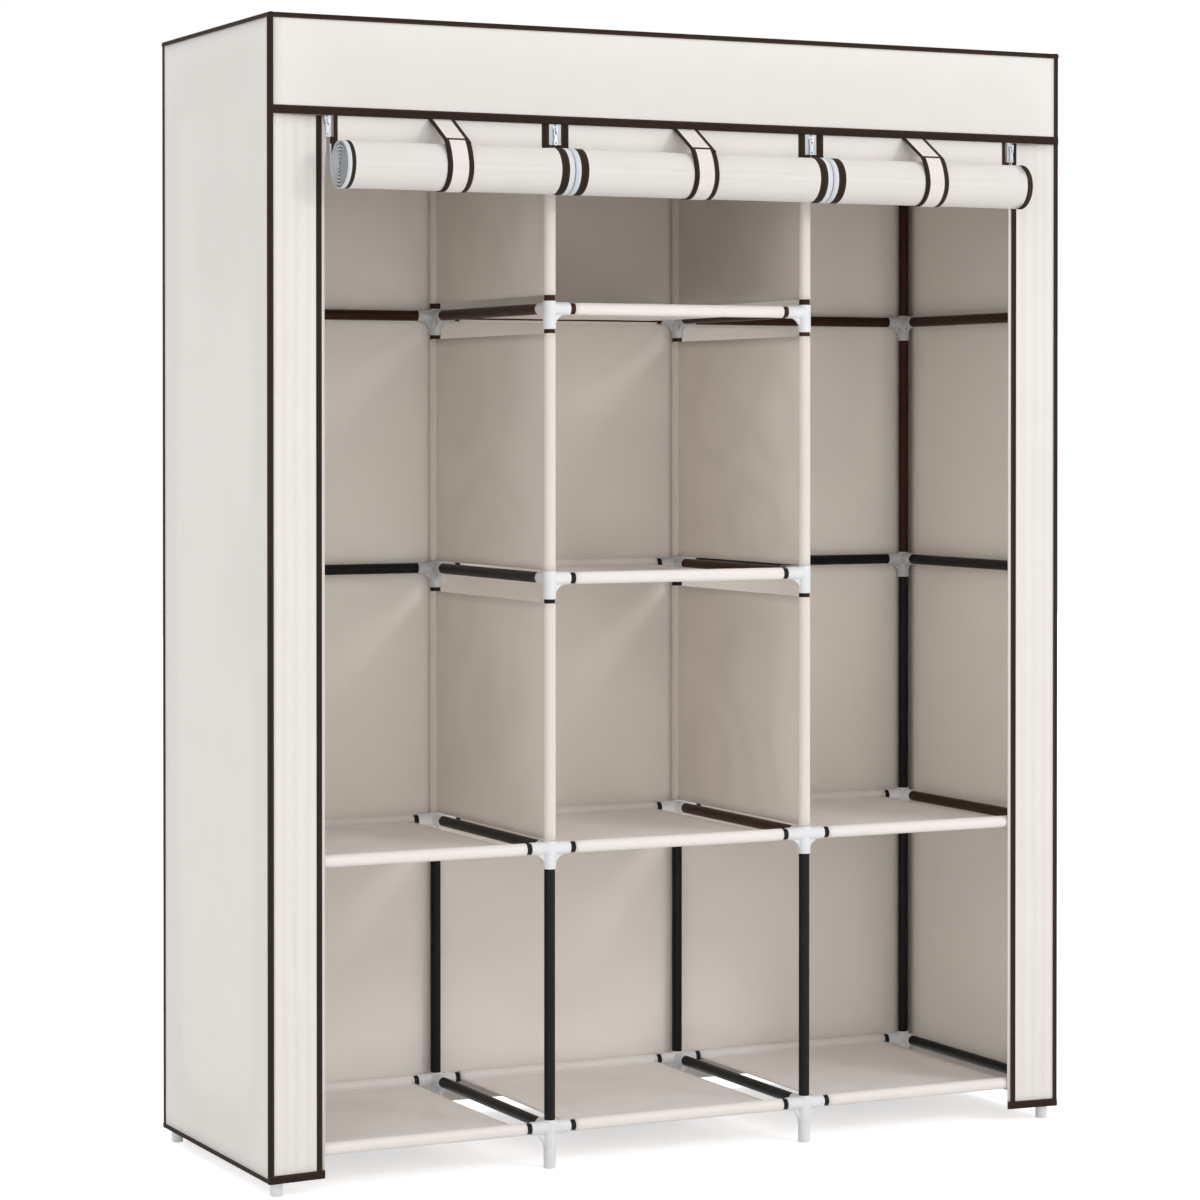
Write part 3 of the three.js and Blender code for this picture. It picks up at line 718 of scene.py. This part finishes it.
def tube_frame():
    levels = LEVEL_Z + [TOP_Z]
    for post in POSTS:
        x = POST_X[post]
        for place, y in (("front", FRONT_Y), ("back", BACK_Y)):
            is_front = place == "front"
            node = f"post_{place}_{post + 1}"
            for k, z in enumerate(levels):
                stood_for = ("top_frame",) if k == 4 else (node,)
                # Back connectors from level 2 up get the darker grey copy of the plastic: painted
                # shade.
                plastic = CONNECTOR_PLASTIC if is_front or k < 2 else SHADED_BACK_CONNECTOR
                ways = ways_at(post, is_front, k)
                name = f"connector_{place}_{post + 1}_{k}"
                connector(name, (x, y, z), ways, k == 0, stood_for, plastic)
                if k < 4:
                    upper = (x, y, levels[k + 1] - CONNECTOR_TOP)
                    tube(f"{node}_tube_{k}", (x, y, z + TUBE_RADIUS), upper, k >= 2)
        for k, z in enumerate(levels):
            is_brown = k >= 3 or (k, post) in BROWN_DEPTH_TUBES
            name = f"depth_tube_{post + 1}_{k}"
            stood_for = () if k == 4 else (f"depth_rail_{post + 1}_level_{k}",)
            tube(name, (x, FRONT_Y + RAIL_END, z), (x, BACK_Y - RAIL_END, z), is_brown, stood_for)
    for column, side in enumerate(COLUMN_NAMES):
        ends = (POST_X[column] + RAIL_END, POST_X[column + 1] - RAIL_END)
        for k, z in enumerate(levels):
            for place, y in (("front", FRONT_Y), ("back", BACK_Y)):
                is_shelf = k < 2 or (k < 4 and side == "middle")
                if not is_shelf and place == "front" and k < 4:
                    continue
                name = f"cross_tube_{side}_{place}_{k}"
                stood_for = () if is_shelf or k == 4 else (f"back_rail_{side}_level_{k}",)
                tube(name, (ends[0], y, z), (ends[1], y, z), k >= 3, stood_for)
    y = (FRONT_Y + BACK_Y) / 2
    for column in (0, 2):
        side = COLUMN_NAMES[column]
        left, right = POST_X[column] + TUBE_RADIUS, POST_X[column + 1] - TUBE_RADIUS
        tube(f"hanging_rod_{side}", (left, y, TOP_Z), (right, y, TOP_Z), False)
        for post in (column, column + 1):
            x = POST_X[post]
            front, back = (x, y - COLLAR_HALF, TOP_Z), (x, y + COLLAR_HALF, TOP_Z)
            collar = rod_part(front, back, CONNECTOR_RADIUS)
            smooth(collar)
            finished(collar, f"rod_collar_{side}_{post + 1}", CONNECTOR_PLASTIC, slot="connector")


tube_frame()
for model in CONNECTORS.values():
    bpy.data.objects.remove(model, do_unlink=True)


# Cloth on the frame
def ripple(x, y, z, scale, seed=0.0):
    return noise.noise(Vector((x, y, z)) * scale + Vector((seed, seed * 1.7, -seed)))


def edge_fade(value, low, high, reach):
    return max(0.0, min(1.0, (value - low) / reach, (high - value) / reach))


def along_path(points):
    lengths = [0.0]
    for a, b in zip(points, points[1:]):
        lengths.append(lengths[-1] + math.dist(a, b))
    return lengths


def arc(center, radius, start, end, parts):
    """Points on an arc in a plane, from one angle to another in degrees."""
    return [
        (center[0] + radius * math.cos(math.radians(t)), center[1] + radius * math.sin(math.radians(t)))
        for t in spread(start, end, parts)
    ]


SLEEVE_START = 38
SLEEVE_LEAVES = 20
SHELF_PINCH = 0.0035
SHELF_SAG = 0.0028
SHELF_WAVES = 0.0016
DIVIDER_SLEEVE = 0.0086
DIVIDER_GAP = 0.0006
DIVIDER_WAVES = 0.003


def shelf(column, level):
    """One cloth: round the front tube, across a little below its middle, and round the back tube."""
    side = COLUMN_NAMES[column]
    z = LEVEL_Z[level]
    left = POST_X[column] + ARM_REACH + BARE_TUBE_END
    right = POST_X[column + 1] - ARM_REACH - BARE_TUBE_END
    middle = (left + right) / 2
    radius = TUBE_RADIUS + 0.0001
    drop = -radius * math.sin(math.radians(SLEEVE_LEAVES))
    front_loop = arc((FRONT_Y, z), radius, -SLEEVE_START, -360 - SLEEVE_LEAVES, 26)
    back_loop = arc((BACK_Y, z), radius, 180 + SLEEVE_LEAVES, -180 + SLEEVE_START, 26)
    first, last = front_loop[-1][0], back_loop[0][0]
    across_run = [(y, z + drop) for y in spread(first, last, 30)[1:-1]]
    path = front_loop + across_run + back_loop
    lengths = along_path(path)
    front_seam, back_seam = lengths[len(front_loop) - 1], lengths[-len(back_loop)]

    def place(x, s):
        y, up = path[nearest(lengths, s)]
        if s <= front_seam or s >= back_seam:
            return Vector((x, y, up))
        share = (y - first) / (last - first)
        pinch = SHELF_PINCH * math.sin(math.pi * share) ** 0.5
        x = middle + (x - middle) * (1 - pinch / (right - middle))
        give = edge_fade(y, first, last, 0.09) * edge_fade(x, left, right, 0.05)
        sag = give * (SHELF_SAG + SHELF_WAVES * ripple(x, y, level, 9.0, column))
        return Vector((x, y, up - sag))

    name, node = f"shelf_{side}_{level}_cloth", f"shelf_{side}_level_{level}"
    across = spread(left, right, 34)
    cloth = cloth_piece(
        name, across, lengths, place, [LIT_SHELF_CLOTH], inset=1.0,
        seams=lambda x, s: (x, min(s - front_seam, back_seam - s)),
    )
    finished(cloth, name, LIT_SHELF_CLOTH, slot="shelf_cloth", stands_for=(node,))


def divider(side, post, tier):
    node = f"divider_{side}_{tier}"
    low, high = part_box(node)
    x = POST_X[post]
    radius = DIVIDER_SLEEVE
    turn = math.degrees(math.asin(DIVIDER_GAP / radius))
    front_loop = arc((x, FRONT_Y), radius, 90 - turn, -270 + turn, 20)
    back_loop = arc((x, BACK_Y), radius, -90 - turn, -450 + turn, 20)
    run = [(x - DIVIDER_GAP, y) for y in spread(FRONT_Y + radius * 1.2, BACK_Y - radius * 1.2, 28)]
    path = front_loop + run + back_loop
    lengths = along_path(path)
    front_seam, back_seam = lengths[len(front_loop) - 1], lengths[-len(back_loop)]

    def place(s, z):
        across, y = path[nearest(lengths, s)]
        give = edge_fade(y, FRONT_Y + 0.014, BACK_Y - 0.014, 0.1)
        give *= 0.4 + 0.6 * edge_fade(z, low[2], high[2], 0.05)
        return Vector((across + DIVIDER_WAVES * give * ripple(x, y, z, 6.0, 3.0), y, z))

    cloth = cloth_piece(
        node + "_cloth", lengths, spread(low[2], high[2], 24), place, [DIVIDER_CLOTH],
        seams=lambda s, z: (z, min(s - front_seam, back_seam - s)),
    )
    finished(cloth, cloth.name, DIVIDER_CLOTH, slot="divider_cloth", stands_for=(node,))


for column in range(3):
    for level in LEVELS:
        if level < 2 or column == 1:
            shelf(column, level)
for side, post in (("left", 1), ("right", 2)):
    for tier in ("low", "middle", "high"):
        divider(side, post, tier)


# The cover
SIDES = (("left", LEFT, 1), ("right", RIGHT, -1))
ENDS = (("front", FRONT, 1), ("back", BACK, -1))
# How far bindings stand out. Where two cross, the upper one stands out further.
PIPING = 0.0011
PIPING_OVER = 0.0013
PIPING_TOPMOST = 0.0015
# How far each corner's piping reaches along the front or back, and along the side
CORNER_PIPING = {
    "front_left": (0.0055, 0.0070),
    "front_right": (0.0070, 0.0070),
    "back_left": (0.0050, 0.0085),
    "back_right": (0.0050, 0.0085),
}
TOP_PIPING = {"front": 0.006, "back": 0.005, "side": 0.005}
PIPING_ROUND = 0.0018
ROUND_STEPS = 4
BAND = 0.0016
HEM_WIDTH = 0.0065
STRIP_HEM_WIDTH = 0.0115
STRIP_PIPING_WIDTH = 0.0085
VALANCE_BAND_WIDTH = 0.012
HEM_PAST_STRIP = 0.004
SIDE_GIVE = 0.0018
BACK_GIVE = 0.003
VALANCE_GIVE = 0.0016
STRIP_GIVE = 0.0006
TOP_SAG = 0.002


def edge_bead(reach_a, reach_b, proud=PIPING):
    """The outline of a bound seam on a corner: two flaps that lie on both faces, and a round edge.
    Each point is (a, b, how far it is from the sewn edge of its flap)."""
    outline = [(0.0, reach_b, 0.0), (-proud, reach_b, 0.0)]
    radius = PIPING_ROUND + proud
    for i in range(ROUND_STEPS + 1):
        angle = math.pi + (math.pi / 2) * i / ROUND_STEPS
        a, b = PIPING_ROUND + radius * math.cos(angle), PIPING_ROUND + radius * math.sin(angle)
        outline.append((a, b, reach_b - b if i <= ROUND_STEPS / 2 else reach_a - a))
    return outline + [(reach_a, -proud, 0.0), (reach_a, 0.0, 0.0), (0.0, 0.0, 1.0)]


def flat_band(width, proud=PIPING):
    """The outline of a flat binding that wraps an edge of cloth: a along the face, b outwards."""
    inner = proud - BAND
    soft = min(BAND, proud + 0.0004) * 0.45
    half = [(0, inner), (0, proud - soft), (soft, proud)]
    outline = half + [(width - a, b) for a, b in reversed(half)]
    return [(a, b, width - a) for a, b in outline]


def trim(name, outline, start, end, u, v, body="root"):
    """A binding along a straight edge."""
    sewn = [point[2] for point in outline]
    flat = [point[:2] for point in outline]
    return cover_part(swept(name, flat, start, end, u, v, BINDING, sewn=sewn), body)


def panel(name, across, down, place, node):
    """A panel of the cover, with the inner cloth on its inner face; that cloth is a lighter copy of the
    cover cloth, painted light for the shaded inside.
    """
    cloth = cloth_piece(name, across, down, place, COVER_FACES, inset=-1.0, lining=True)
    cover_part(cloth, node=node)


def billow(a, b, low_a, high_a, low_b, high_b, deep, seed):
    """How far a stretched panel gives inwards: nothing at its seams, and soft waves between them."""
    fade = edge_fade(a, low_a, high_a, 0.10) * edge_fade(b, low_b, high_b, 0.14)
    return deep * fade * (0.55 + 0.45 * ripple(a, b, seed, 3.2, seed))


def cover():
    X, Y, Z = Vector((1, 0, 0)), Vector((0, 1, 0)), Vector((0, 0, 1))
    beads, hems, strips = {}, {}, {}
    for end, y, way in ENDS:
        for side, x, turn in SIDES:
            name = f"{end}_{side}"
            outline = edge_bead(*CORNER_PIPING[name])
            beads[name] = trim(
                "piping_" + name, outline, (x, y, HEM), (x, y, TOP), X * turn, Y * way
            )
    for end, y, way in ENDS:
        outline = edge_bead(TOP_PIPING[end], TOP_PIPING[end], PIPING_OVER)
        beads["top_" + end] = trim(
            "piping_top_" + end, outline, (LEFT, y, TOP), (RIGHT, y, TOP), Y * way, -Z
        )
    for side, x, turn in SIDES:
        outline = edge_bead(TOP_PIPING["side"], TOP_PIPING["side"], PIPING_TOPMOST)
        beads["top_" + side] = trim(
            "piping_top_" + side, outline, (x, FRONT, TOP), (x, BACK, TOP), X * turn, -Z
        )
    band = flat_band(HEM_WIDTH, PIPING_OVER)
    for side, x, turn in SIDES:
        hems[side] = trim("hem_" + side, band, (x, FRONT, HEM), (x, BACK, HEM), Z, -X * turn)
    hems["back"] = trim("hem_back", band, (LEFT, BACK, HEM), (RIGHT, BACK, HEM), Z, Y)
    for side, x, turn in SIDES:
        way = Vector((turn * STRIP_WIDTH, STRIP_LEAN, 0)).normalized()
        out = Vector((turn * way.y, -turn * way.x, 0))
        low = Vector((x, FRONT, HEM))
        past = low + way * (STRIP_WIDTH + HEM_PAST_STRIP)
        inner = low + way * (STRIP_WIDTH - STRIP_PIPING_WIDTH)
        hem = flat_band(STRIP_HEM_WIDTH, PIPING_TOPMOST)
        piping = flat_band(STRIP_PIPING_WIDTH, PIPING_OVER)
        strips[side] = [
            trim("strip_hem_" + side, hem, low, past, Z, out),
            trim("strip_piping_" + side, piping, inner, inner + Z * (SEAM - HEM), way, out),
        ]
    band = flat_band(VALANCE_BAND_WIDTH, PIPING_TOPMOST)
    valance_band = trim("valance_band", band, (LEFT, FRONT, SEAM), (RIGHT, FRONT, SEAM), Z, -Y)

    tall, low_rows = spread(HEM, TOP, 60), spread(HEM, SEAM, 60)
    for side, x, turn in SIDES:

        def side_place(y, z, x=x, turn=turn):
            give = billow(y, z, FRONT, BACK, HEM, TOP, SIDE_GIVE, 5.0 + turn)
            return Vector((x + turn * give, y, z))

        def strip_place(a, z, x=x, turn=turn):
            waves = 0.5 + 0.5 * ripple(a * 4, z, 1.0, 4.0, turn + 2)
            give = STRIP_GIVE * edge_fade(a, 0.005, STRIP_WIDTH, 0.03) * waves
            return Vector((x + turn * a, FRONT + STRIP_LEAN * a / STRIP_WIDTH + give, z))

        node = "cover_" + side
        panel(
            "cover_side_" + side, spread(FRONT, BACK, 18)[::-turn], tall, side_place, node,
        )
        panel(
            "cover_strip_" + side, spread(0, STRIP_WIDTH, 8)[::turn], low_rows, strip_place, node,
        )

    def back_place(x, z):
        return Vector((x, BACK - billow(x, z, LEFT, RIGHT, HEM, TOP, BACK_GIVE, 9.0), z))

    def valance_place(x, z):
        give = billow(x, z, LEFT, RIGHT, SEAM - 0.05, TOP, VALANCE_GIVE, 12.0)
        return Vector((x, FRONT + give, z))

    def top_place(x, y):
        rests = min(abs(x - post) for post in POST_X)
        sag = TOP_SAG * edge_fade(y, FRONT, BACK, 0.05) * min(1.0, rests / 0.08)
        return Vector((x, y, TOP - sag))

    node = "cover_back_and_top"
    panel(
        "cover_back", spread(RIGHT, LEFT, 48), tall, back_place, node,
    )
    panel(
        "cover_valance", spread(LEFT, RIGHT, 60), spread(SEAM, TOP, 12), valance_place, node,
    )
    panel(
        "cover_top", spread(LEFT, RIGHT, 60), spread(FRONT, BACK, 18), top_place, node,
    )


cover()


# Rolled doors and straps
DOOR_CLOTH = 0.0009
# Each patch of a door is one of these kinds; the next face in the list is its inner side.
DOOR_FACES = [DOOR_LINING, COVER_CLOTH, BINDING, BINDING, ZIP_TAPE, BINDING]
PLAIN, BOUND, TAPED = 0, 2, 4
# Widths of zip tape and of binding, at the wardrobe's sides and between two doors
SIDE_TRIMS = (0.006, 0.006)
INNER_TRIMS = (0.0095, 0.0112)
SHOWN_TURN = ROLL_DROP + 2 * math.pi * ROLL_RADIUS
TURN_PAIRING = 0.0005
ROLL_END_GROWS = 0.0006
ROLL_UNEVEN = 0.0002
TAPE_TUCKED = 0.0013
TAPE_FOLDED = 0.0055
BINDING_FOLDED = 0.0035
COIL_SECTION = (
    (-0.0001, 0.0005), (0.0004, 0.0008), (0.0016, 0.0008),
    (0.0020, 0.0004), (0.0016, -0.0005), (-0.0001, -0.0005),
)
STRAP_EDGE = 0.0062
STRAP_EDGE_ON_ROLL = 0.0078
STRAP_SEAM = 0.0055
STRAP_START = (FRONT - 0.0009, SEAM)
STRAP_FOLD = (FRONT - 0.055, SEAM - 0.033)
STRAP_MEETS = math.radians(190)
STRAP_ENDS = math.radians(24)
STRAP_THICKNESS = 0.0010
STRAP_TAIL = 0.006
STRAP_CLEAR = 0.0011


def between(a, b, share):
    return (a[0] + (b[0] - a[0]) * share, a[1] + (b[1] - a[1]) * share)


def on_turn(radius, turned):
    return (ROLL_Y + radius * math.cos(turned), ROLL_Z - radius * math.sin(turned))


def turn_radius(turned):
    """How far the door cloth is from the roll's axis after so much turning. Turns lie in pairs."""
    paired = TURN_PAIRING * (math.cos(turned / 2) - 1) * min(1, max(0, turned / math.pi - 1.5))
    return ROLL_RADIUS - CLOTH / 2 - ROLL_PITCH * turned / (2 * math.pi) + paired


def roll_path():
    """The door cloth from its seam down to the roll and round to its core, as (y, z) points."""
    hang = [(FRONT + 0.0006, SEAM), (FRONT + 0.0002, SEAM - 0.03)]
    start = (ROLL_Y + ROLL_RADIUS - CLOTH / 2, ROLL_Z)
    hang += [between(hang[1], start, share) for share in spread(0, 1, 4)[1:-1]]
    turns = (ROLL_RADIUS - ROLL_CORE) / ROLL_PITCH
    wound = spread(0, 2 * math.pi * turns, int(turns * 28))
    return hang + [on_turn(turn_radius(turned), turned) for turned in wound]


def door(column):
    side = COLUMN_NAMES[column]
    node = f"door_roll_{side}"
    low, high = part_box(node)
    left, right = low[0], high[0]
    path = roll_path()
    lengths = along_path(path)
    tape, binding = SIDE_TRIMS if column == 0 else INNER_TRIMS
    tape_left, bound_left = left + tape, left + tape + binding
    tape, binding = SIDE_TRIMS if column == 2 else INNER_TRIMS
    tape_right, bound_right = right - tape, right - tape - binding
    across = [left, tape_left] + spread(tape_left, bound_left, 2)[1:]
    across += spread(bound_left, bound_right, 24)[1:] + spread(bound_right, tape_right, 2)[1:] + [right]

    def place(x, s):
        y, z = path[nearest(lengths, s)]
        if s <= ROLL_DROP:
            return Vector((x, y, z))
        grow = ROLL_UNEVEN * ripple(x, math.atan2(z - ROLL_Z, y - ROLL_Y), column, 7.0, 2.0)
        grow += ROLL_END_GROWS if x <= bound_left or x >= bound_right else 0.0
        ray = Vector((0, y - ROLL_Y, z - ROLL_Z)).normalized() * grow
        if x == tape_left and column > 0:
            x -= TAPE_TUCKED
        elif x == tape_right:
            x += TAPE_TUCKED if column < 2 else TAPE_FOLDED
        elif x == bound_right and column == 2:
            x += BINDING_FOLDED
        return Vector((x, y, z)) + ray

    def kind(x, s):
        if x < tape_left or x > tape_right:
            return None if s < SEAM - TAPE_END else TAPED if s < SHOWN_TURN else BOUND
        return BOUND if x < bound_left or x > bound_right else PLAIN

    def seams(x, s):
        return (s, min(abs(x - edge) for edge in (tape_left, bound_left, bound_right, tape_right)))

    cloth = cloth_piece(
        f"door_{side}_cloth", across, lengths, place, DOOR_FACES, kind, DOOR_CLOTH,
        seams=seams, lining=True,
    )
    cover_part(cloth, f"door_{side}", node)


def rolled_teeth(column):
    """The zip's coil along both edges of a door, wound up with it. The edge on the wardrobe's
    right is folded under."""
    side = COLUMN_NAMES[column]
    low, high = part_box(f"door_roll_{side}")
    path = [point for point in roll_path() if point[1] < TAPE_END]
    lengths = along_path(path)
    for edge, x, way in (("left", low[0], 1), ("right", high[0], -1))[: 1 if column == 2 else 2]:
        points = []
        for i, (y, z) in enumerate(path):
            before, after = path[max(i - 1, 0)], path[min(i + 1, len(path) - 1)]
            along = Vector((0, after[0] - before[0], after[1] - before[1])).normalized()
            out = along.cross(Vector((1, 0, 0)))
            for inwards, proud in COIL_SECTION:
                points.append(Vector((x + way * inwards, y, z)) + out * proud)
        coil = ringed_strip(
            f"door_{side}_teeth_{edge}", points, len(COIL_SECTION),
            lambda ring, i: (lengths[ring], 0.01), ZIP_TEETH, 50,
        )
        cover_part(coil, f"door_{side}")


def strap(column):
    """From its seam straight down to the fold, then in a curve on to the roll and round it."""
    side = COLUMN_NAMES[column]
    x = STRAP_X[column]
    seam, fold = STRAP_START, STRAP_FOLD
    falls = spread(0, 1 - STRAP_SEAM / math.dist(seam, fold), 7)
    path = [between(seam, fold, share) for share in falls]
    leaves = 1.5 * math.pi - math.atan2(ROLL_Y - fold[0], fold[1] - ROLL_Z)
    stands_off = math.dist(fold, (ROLL_Y, ROLL_Z)) - turn_radius(leaves) - STRAP_CLEAR
    for turned in spread(leaves, STRAP_ENDS, 30):
        free = max(0.0, (turned - STRAP_MEETS) / (leaves - STRAP_MEETS))
        path.append(on_turn(turn_radius(turned) + STRAP_CLEAR + stands_off * free**2, turned))
    lengths = along_path(path)
    seam_top, seam_low = lengths[len(falls) - 1 : len(falls) + 1]
    half = STRAP_WIDTH / 2
    across = [x - half, x - half + STRAP_EDGE]
    across += spread(x - half + STRAP_EDGE_ON_ROLL, x + half - STRAP_EDGE_ON_ROLL, 6)
    across += [x + half - STRAP_EDGE, x + half]

    def place(a, s):
        y, z = path[nearest(lengths, s)]
        return Vector((a, y, z))

    def kind(a, s):
        from_edge = half - abs(a - x)
        if seam_top < s < seam_low or from_edge < STRAP_EDGE:
            return 1
        return 1 if from_edge < STRAP_EDGE_ON_ROLL and s > seam_top else 0

    band = cloth_piece(
        f"strap_{side}", across, lengths, place, [STRAP_CLOTH, BINDING], kind, STRAP_THICKNESS,
        seams=lambda a, s: (s, STRAP_EDGE_ON_ROLL - half + abs(a - x)),
    )
    cover_part(band, f"door_{side}", f"door_strap_{side}")
    if column < 2:
        falling = Vector((0, fold[0] - seam[0], fold[1] - seam[1])).normalized()
        start = Vector((x + half - STRAP_EDGE, *fold)) - falling * STRAP_SEAM
        end = start + falling * (STRAP_SEAM + STRAP_TAIL)
        out, outline = Vector((0, falling.z, -falling.y)), flat_band(STRAP_EDGE)
        trim(f"strap_tail_{side}", outline, start, end, (1, 0, 0), out, f"door_{side}")


for column in range(3):
    door(column)
    rolled_teeth(column)
    strap(column)


# Zips
TAPE_Y = FRONT + 0.0006
TAPE_BEAD = (
    (-0.0002, -0.0004), (0.0002, -0.0007), (0.0010, -0.0007),
    (0.0013, -0.0004), (0.0013, 0.0004), (-0.0002, 0.0004),
)
BEHIND_STRIP = FRONT + STRIP_LEAN + 0.0012
TAPE_UNDER_STRIP = 0.004
HALF_TAPE = 0.0004
COMES_FORWARD = (0.10, 0.04)


def strip_tape(i, side, way):
    """The half of an outer zip that is sewn behind a front strip, and comes forward to its slider."""
    near = ZIP_X[i] + way * TAPE_PARTING / 2
    shown = ZIP_FROM_SIDE - TAPE_PARTING / 2 - STRIP_WIDTH
    rows = spread(HEM, SEAM - 0.12, 6) + spread(SEAM - 0.12, SEAM, 24)[1:]

    def forward(z):
        low, high = (SEAM - drop for drop in COMES_FORWARD)
        t = min(1.0, max(0.0, (z - low) / (high - low)))
        return (BEHIND_STRIP - TAPE_Y) * t * t * (3 - 2 * t)

    def place(a, z):
        return Vector((near + way * a, BEHIND_STRIP - forward(z) * max(0.0, 1 - a / shown), z))

    def bend(share):
        return Vector((0, -forward(HEM + (SEAM - HEM) * share), 0))

    name = f"{i + 1}_{side}"
    across = [0, shown / 2, shown, shown + TAPE_UNDER_STRIP]
    cover_part(cloth_piece("zip_tape_" + name, across, rows, place, [STRIP_TAPE]))
    start, end = (near, BEHIND_STRIP, HEM), (near, BEHIND_STRIP, SEAM)
    across_tape, out = (way, 0, 0), (0, 1, 0)
    cover_part(
        swept("zip_teeth_" + name, TAPE_BEAD, start, end, across_tape, out, ZIP_TEETH, 48, bend)
    )


def zips():
    for i, x in enumerate(ZIP_X):
        reach = (OUTER_TAPE if i in (0, 3) else INNER_TAPE) - TAPE_PARTING / 2
        outline = [(0, -HALF_TAPE), (reach, -HALF_TAPE), (reach, HALF_TAPE), (0, HALF_TAPE)]
        for side, way in (("left", -1), ("right", 1)):
            if (i == 0 and way < 0) or (i == 3 and way > 0):
                strip_tape(i, side, way)
                continue
            near = x + way * TAPE_PARTING / 2
            ends = (near, TAPE_Y, TAPE_END), (near, TAPE_Y, SEAM), (way, 0, 0), (0, 1, 0)
            cover_part(swept(f"zip_tape_{i + 1}_{side}", outline, *ends, ZIP_TAPE))
            cover_part(swept(f"zip_teeth_{i + 1}_{side}", TAPE_BEAD, *ends, ZIP_TEETH))
        for node in (f"zip_slider_{i + 1}", f"zip_pull_{i + 1}"):
            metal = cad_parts[node]
            metal.data.materials.clear()
            metal.data.materials.append(ZIP_METAL)


zips()
